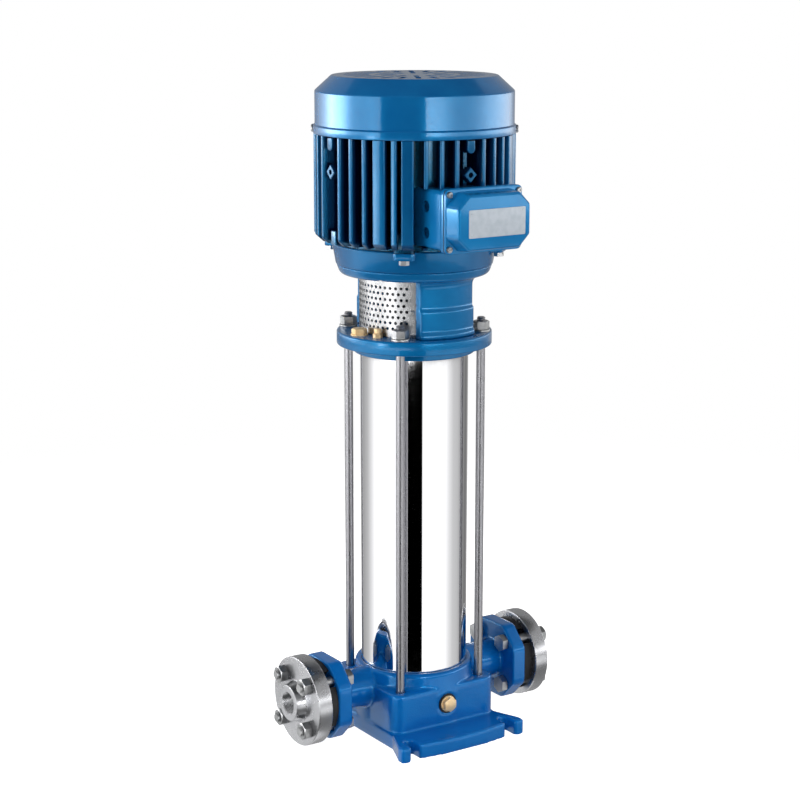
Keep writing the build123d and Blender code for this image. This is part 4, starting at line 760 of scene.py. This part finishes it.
# blanking plugs in enamel darkened as painted shade for the recessed entries
newPiece("entryPlugs", [placed(plug, (t["wall"] - t["half"], t["entryY"], z), (0, -1, 0), (0, 0, 1))
                        for z in t["entryHeights"]], plugEnamelWithPaintedShade, "entry_plugs")
coverParts = [frontal(slab(lip, t["coverBase"] - 3, t["coverBase"], 0.5, 0.9), z=midHeight),
              frontal(slab(rectangle(2 * t["half"] + 2, boxHeight, 7, cut=t["coverCut"]), t["coverBase"] - 1,
                           t["coverFront"], 0, 3.2, draft=t["draft"], steps=6), z=midHeight)]
newPiece("terminalBoxCover", coverParts, boxEnamel, "terminal_box_cover")
newPiece("coverScrews", [frontal(screwHead(3.6, 2.4, slotRadius(5, 1), 1.3, 0.8), -t["coverBase"], x, midHeight + z)
                         for x in (-t["screwX"], t["screwX"]) for z in (-t["screwZ"], t["screwZ"])], zincSteel,
         "cover_screws")
rivets = [frontal(turned([(0, 0), (1.6, 0), (1.3, 0.28), (0.7, 0.42), (0, 0.45)], 20), -t["coverFront"] - 0.15, x, z)
          for x in (t["plateX"] - t["rivetX"], t["plateX"] + t["rivetX"])
          for z in (t["plateZ"] - t["rivetZ"], t["plateZ"] + t["rivetZ"])]
plate = slab(rectangle(t["plateWidth"], t["plateHeight"], 1.5), 0, 0.35, 0, 0.2)
newPiece("namePlate", [frontal(plate, -t["coverFront"], t["plateX"], t["plateZ"])] + rivets, silverPlate,
         "name_plate")
print("terminal box made")

# CAD nodes that keep their shape
keptNodes = {blackRubber: ["box_gasket", "sleeve_seals"],
             sheetSteel: ["stage_chambers", "discharge_chamber", "impellers", "inlet_support", "shaft_spacers"],
             groundSteel: ["pump_shaft", "motor_shaft", "bearing_outer_rings", "bearing_inner_rings"],
             rodSteel: ["seal_ring"], zincSteel: ["stool_screws", "motor_flange_screws", "coupling_bolts"],
             greyCasting: ["coupling_halves"], stackedSheet: ["stator_core", "rotor_core"],
             woundCopper: ["stator_windings"], blackPlastic: ["terminal_board", "cooling_fan"],
             greyCarbide: ["bottom_bush", "seal_seat"], shieldEnamel: ["rear_end_shield"]}
for material, names in keptNodes.items():
    for name in names:
        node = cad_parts[name]
        node.data.materials.clear()
        node.data.materials.append(material)

# Floor, walls for the bright surfaces to reflect, lamps and world, in metres
# each wall is a band round the pump between two heights, with the light level at each of its degrees from the
# camera; a surface z metres up mirrors the band round 2.49 z - 1.33
stageSet = {
    "floorHalf": 3.0, "fadeFrom": 0.55, "fadeTo": 1.5, "wallRadius": 3.2, "wallColumns": 362, "ceiling": 4.0,
    "ceilingLevel": 0.06, "walls": [
        (-6.0, -1.12, {-180: 0.4, -130: 0.8, -113: 1.0, -100: 0.5, -90: 0.15, -21: 0.1, 17: 0.1, 30: 0.2, 76: 0.25,
            100: 0.3, 180: 0.4}),
        (-1.12, -0.175, {-180: 0.49, -138: 0.45, -118: 0.63, -103: 1.02, -92: 1.4, -22: 1.4, -21: 0, 17: 0, 18: 1.4,
            70: 1.4, 81: 1.02, 93: 0.74, 107: 0.66, 123: 0.4, 145: 0.19, 165: 0.4, 180: 0.49}),
        (-0.175, 0.034, {-180: 0.3, -130: 0.2, -100: 0.35, -78: 0.8, -60: 3.4, -8: 3.4, 4: 0.3, 13: 0.15, 110: 0.2,
            150: 0.6, 180: 0.3}),
        (0.034, 0.129, {-180: 0.3, -150: 0.5, -120: 1.8, -100: 3.4, -75: 2.8, -50: 1.6, -30: 0.8, -10: 0.3, 13: 0.1,
            60: 0.25, 90: 0.5, 120: 0.8, 150: 0.5, 180: 0.3}),
        (0.129, 0.383, {-180: 0.4, -130: 1.0, -116: 1.5, -105: 2.0, -90: 1.2, -66: 0.8, -58: 1.2, -54: 3, -52: 10,
            -46: 10, -43: 4, -38.5: 4, -37.5: 0, 12: 0, 13: 0.5, 60: 0.35, 80: 0.5, 100: 1.0, 130: 1.0, 180: 0.4}),
        (0.383, 0.8, {-180: 0.3, -150: 0.5, -135: 1.4, -124: 3, -116: 6.5, -108: 13, -88: 13, -80: 7, -73: 4,
            -62: 3.5, -50: 4, -38.5: 4.6, -37.5: 0, 12: 0, 13: 9, 24: 8.2, 32: 6.6, 38: 4.8, 44: 3.6, 50: 2.8,
            60: 2.7, 70: 3.2, 80: 4.2, 93: 5.4, 111: 4.6, 135: 2.6, 150: 0.7, 165: 0.3, 180: 0.3}),
        (0.8, 4.0, {-180: 0.32, -100: 0.5, -60: 0.5, -38: 0.2, 13: 0.2, 40: 0.5, 100: 0.5, 180: 0.32})]}
st = stageSet


def stageObject(name, points, faces):
    # mesh of the stage, not of the pump
    thing = addMesh(name, points, faces.tolist())
    thing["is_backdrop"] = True
    return thing


corners = rectangle(2 * st["floorHalf"], 2 * st["floorHalf"])
floor = stageObject("floor", np.column_stack([corners, np.zeros(4)]), np.array([[0, 1, 2, 3]]))
floorMaterial, tree, shader, where = startMaterial("pale_floor")
tree.nodes.remove(shader)
reach = addNode(tree, "VectorMath", {0: where}, operation="LENGTH").outputs["Value"]
fade = addNode(tree, "MapRange", {"Value": reach, "From Min": st["fadeFrom"], "From Max": st["fadeTo"]},
               interpolation_type="SMOOTHSTEP")
path = addNode(tree, "LightPath")
matt = addNode(tree, "BsdfDiffuse", {"Color": (0.9, 0.9, 0.9, 1)})
lift = addNode(tree, "Emission", {"Color": (1, 1, 1, 1), "Strength": path.outputs["Is Camera Ray"]})
both = addNode(tree, "AddShader", {0: matt, 1: lift})
mixed = addNode(tree, "MixShader", {0: fade, 1: both, 2: addNode(tree, "BsdfTransparent")})
join(tree, tree.nodes["Material Output"], {"Surface": mixed})
floor.data.materials.append(floorMaterial)
floor.visible_glossy = False

wallMaterial, tree, shader, _ = startMaterial("grey_studio_wall")
tree.nodes.remove(shader)
glow = addNode(tree, "Emission", {"Color": addNode(tree, "Attribute", attribute_name="level")})
join(tree, tree.nodes["Material Output"], {"Surface": glow})


def reflectedOnly(name, points, faces, levels):
    # glowing surface that only reflections see, with a light level at each point
    thing = stageObject(name, points, faces)
    colours = np.column_stack([levels] * 3 + [np.ones(len(levels))])
    thing.data.color_attributes.new("level", "FLOAT_COLOR", "POINT").data.foreach_set("color", colours.ravel())
    thing.data.materials.append(wallMaterial)
    thing.visible_camera = thing.visible_diffuse = thing.visible_shadow = thing.visible_transmission = False


for number, (low, high, stops) in enumerate(st["walls"]):
    degrees = np.linspace(-180, 181, st["wallColumns"])
    levels = np.interp(degrees, list(stops), list(stops.values()))
    angle = np.radians(degrees + cameraSet["azimuth"] - 90)
    points = np.concatenate([polar(st["wallRadius"], angle, height) for height in (low, high)])
    reflectedOnly(f"wall{number}", points, weave(2, st["wallColumns"], False, False), np.tile(levels, 2))
rim = ring(st["wallRadius"], 64)
reflectedOnly("ceiling", np.column_stack([rim, np.full(64, st["ceiling"])]), np.arange(64)[None, :],
              np.full(64, st["ceilingLevel"]))

# name, degrees from the camera, distance, height, size, watts; the walls stand for them in reflections
lamps = [("leftSoftbox", -70, 2.2, 0.9, (2.0, 2.4), 42), ("rightSoftbox", 46, 2.2, 0.75, (2.4, 2.4), 30),
         ("topSoftbox", -10, 0.9, 2.3, (1.2, 1.2), 8)]
for name, offset, distance, height, size, power in lamps:
    data = bpy.data.lights.new(name, "AREA")
    data.shape, data.size, data.size_y, data.energy = "RECTANGLE", size[0], size[1], power
    lamp = addObject(name, data)
    lamp.location = polar(distance, np.radians(cameraSet["azimuth"] + offset - 90), height)
    aim = -np.array([lamp.location.x, lamp.location.y, height - 0.42])
    lamp.rotation_euler = (np.arccos(-aim[2] / np.linalg.norm(aim)), 0, np.arctan2(aim[1], aim[0]) - np.pi / 2)
    lamp.visible_camera = lamp.visible_glossy = False

world = bpy.data.worlds.new("studio")
scene.world = world
world.use_nodes = True
tree = world.node_tree
path = addNode(tree, "LightPath")
seen = addNode(tree, "Math", {0: path.outputs["Is Camera Ray"], 1: path.outputs["Is Glossy Ray"]}, operation="MAXIMUM")
seen = addNode(tree, "Math", {0: seen, 1: path.outputs["Is Transmission Ray"]}, operation="MAXIMUM")
back = tree.nodes["Background"]
back.inputs["Color"].default_value = (1, 1, 1, 1)
join(tree, back, {"Strength": addNode(tree, "MapRange", {"Value": seen, "To Min": 0.25, "To Max": 1.0})})
print("stage made")

visualBox = [list(corner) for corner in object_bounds()]
